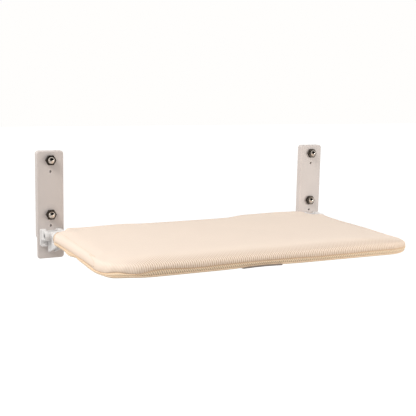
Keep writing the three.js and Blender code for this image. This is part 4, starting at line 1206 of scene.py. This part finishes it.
def strip(name, x0, x1, path, thick, steps, lift, material):
    """A strip of cloth along X. Its path gives the (distance out, height) of its upper side, and
    the lift of a point (x, y) is added. Its weave is measured in metres."""
    form = bmesh.new()
    layer = form.loops.layers.uv.new("weave")
    upper_side = [Vector(spot) for spot in path]
    lower_side = []
    lengths = [0.0]
    for i, spot in enumerate(upper_side):
        ahead = upper_side[min(i + 1, len(path) - 1)] - upper_side[max(i - 1, 0)]
        lower_side.append(spot + Vector((ahead.y, -ahead.x)).normalized() * thick)
        if i:
            lengths.append(lengths[-1] + (spot - upper_side[i - 1]).length)
    section = upper_side + lower_side[::-1]
    lengths += lengths[::-1]
    rings = []
    for i in range(steps + 1):
        x = x0 + (x1 - x0) * i / steps
        rings.append([form.verts.new((x, -spot.x, spot.y + lift(x, -spot.x))) for spot in section])
    alongs = {vert: length for ring in rings for vert, length in zip(ring, lengths)}
    join_rings(form, rings)
    for face in form.faces:
        for loop in face.loops:
            loop[layer].uv = (loop.vert.co.x, alongs[loop.vert])
    return placed(name, closed(form, name, 50), material)


def webbing(start):
    place = start.on_cloth()
    rib = start.maths("SINE", place.axis("Y") * (2 * math.pi / webbing_rib))
    pick = start.maths("SINE", place.axis("X") * (2 * math.pi / webbing_pick) + rib * 1.2)
    return start.surface({
        "Base Color": (rib * pick).step(-0.6, 0.6).blend((0.18, 0.14, 0.12), (0.36, 0.30, 0.26)),
        "Roughness": 0.75, "Normal": (rib + pick * 0.5).relief(0.7, 0.0003), "Sheen Weight": 0.2})


def tab_lift(x, y):
    return foot_rise(x, y) * rising(0.317, 0.323, -y)


tab = strip("tab_webbing", tab_x - tab_half, tab_x + tab_half, tab_path, tab_thick, 24, tab_lift,
            finished("webbing", webbing))
settle(tab, "shelf", "tab", "front_tab")
tab_corners = [(Vector((tab_x + sign * tab_box_half, -out, tab_under - tab_thick)), Vector((0, 0, -1)))
               for sign, out in zip((-1, 1, 1, -1), tab_box_outs)]
tab_stitches = stitch_row(tab_corners, tab_stitch_spacing)
for first in (0, 1):
    tab_stitches += stitch_row(tab_corners[first::2], tab_stitch_spacing, False)
dark_thread = finished("dark_thread", dyed((0.20, 0.15, 0.12), (0.36, 0.29, 0.24), 800, 0.7))
repeated("tab_stitches", stitch_form(length=0.0024, thick=0.0005), tab_stitches, dark_thread,
         "shelf", "tab", spread=0.1, seed=5)

# Zip
# A nylon coil on a woven tape lies in the slot of the bottom panel. The slider and its pull are
# enamelled die castings.
tape_top = -0.0076
tape_thick = 0.0007
tape_half = 0.012
tape_reach = 0.198
coil_reach = 0.187
coil_pitch = 0.0016
coil_drop = 0.0009
coil_apart = 0.0006
coil_lean = 0.0003
coil_half = 0.0011
coil_rise = 0.00062
coil_thread = 0.00033
tape_path = [(slot_out + tape_half * share, tape_top) for share in (-1, -0.5, 0, 0.5, 1)]
tape = strip("zip_tape_woven", -tape_reach, tape_reach, tape_path, tape_thick, 40, lambda x, y: 0.0,
             finished("zip_tape_weave", woven((0.80, 0.66, 0.52), (0.62, 0.48, 0.35), 0.0008)))
settle(tape, "shelf", "zip", "zip_tape")


def tooth_form():
    """One turn of the coil: a flat ring of thread that reaches over the middle line."""
    form = bmesh.new()
    rings = []
    for turn in full_turn(8):
        middle = Vector((coil_lean * math.sin(turn), coil_half * math.cos(turn),
                         coil_rise * math.sin(turn)))
        away = Vector((0, math.cos(turn), math.sin(turn)))
        rings.append([form.verts.new(middle + coil_thread * (
            away * math.cos(around) + Vector((1, 0, 0)) * math.sin(around))) for around in full_turn(5)])
    join_rings(form, rings, ())
    return closed(form, "tooth", 80)


teeth = []
for i in range(round(2 * coil_reach / coil_pitch)):
    x = -coil_reach + (i + 0.5) * coil_pitch
    for sign in (-1, 1):
        teeth.append((Vector((x + sign * coil_pitch / 4, -slot_out + sign * coil_apart,
                              tape_top - tape_thick - coil_drop)), Vector((1, 0, 0)), Vector((0, 0, 1))))
nylon = finished("nylon", dyed((0.66, 0.52, 0.38), (0.78, 0.64, 0.49), 300, 0.35))
repeated("zip_coil", tooth_form(), teeth, nylon, "shelf", "zip")

zip_enamel = finished("enamel", coated((0.62, 0.49, 0.37), (0.74, 0.61, 0.48), 420, 3, 0.2, 0.26, 0.14,
                                       {"Coat Weight": 0.4}))
for node in ("zip_slider", "zip_pull"):
    refined(node, zip_enamel, "zip_metal", 0.0003)
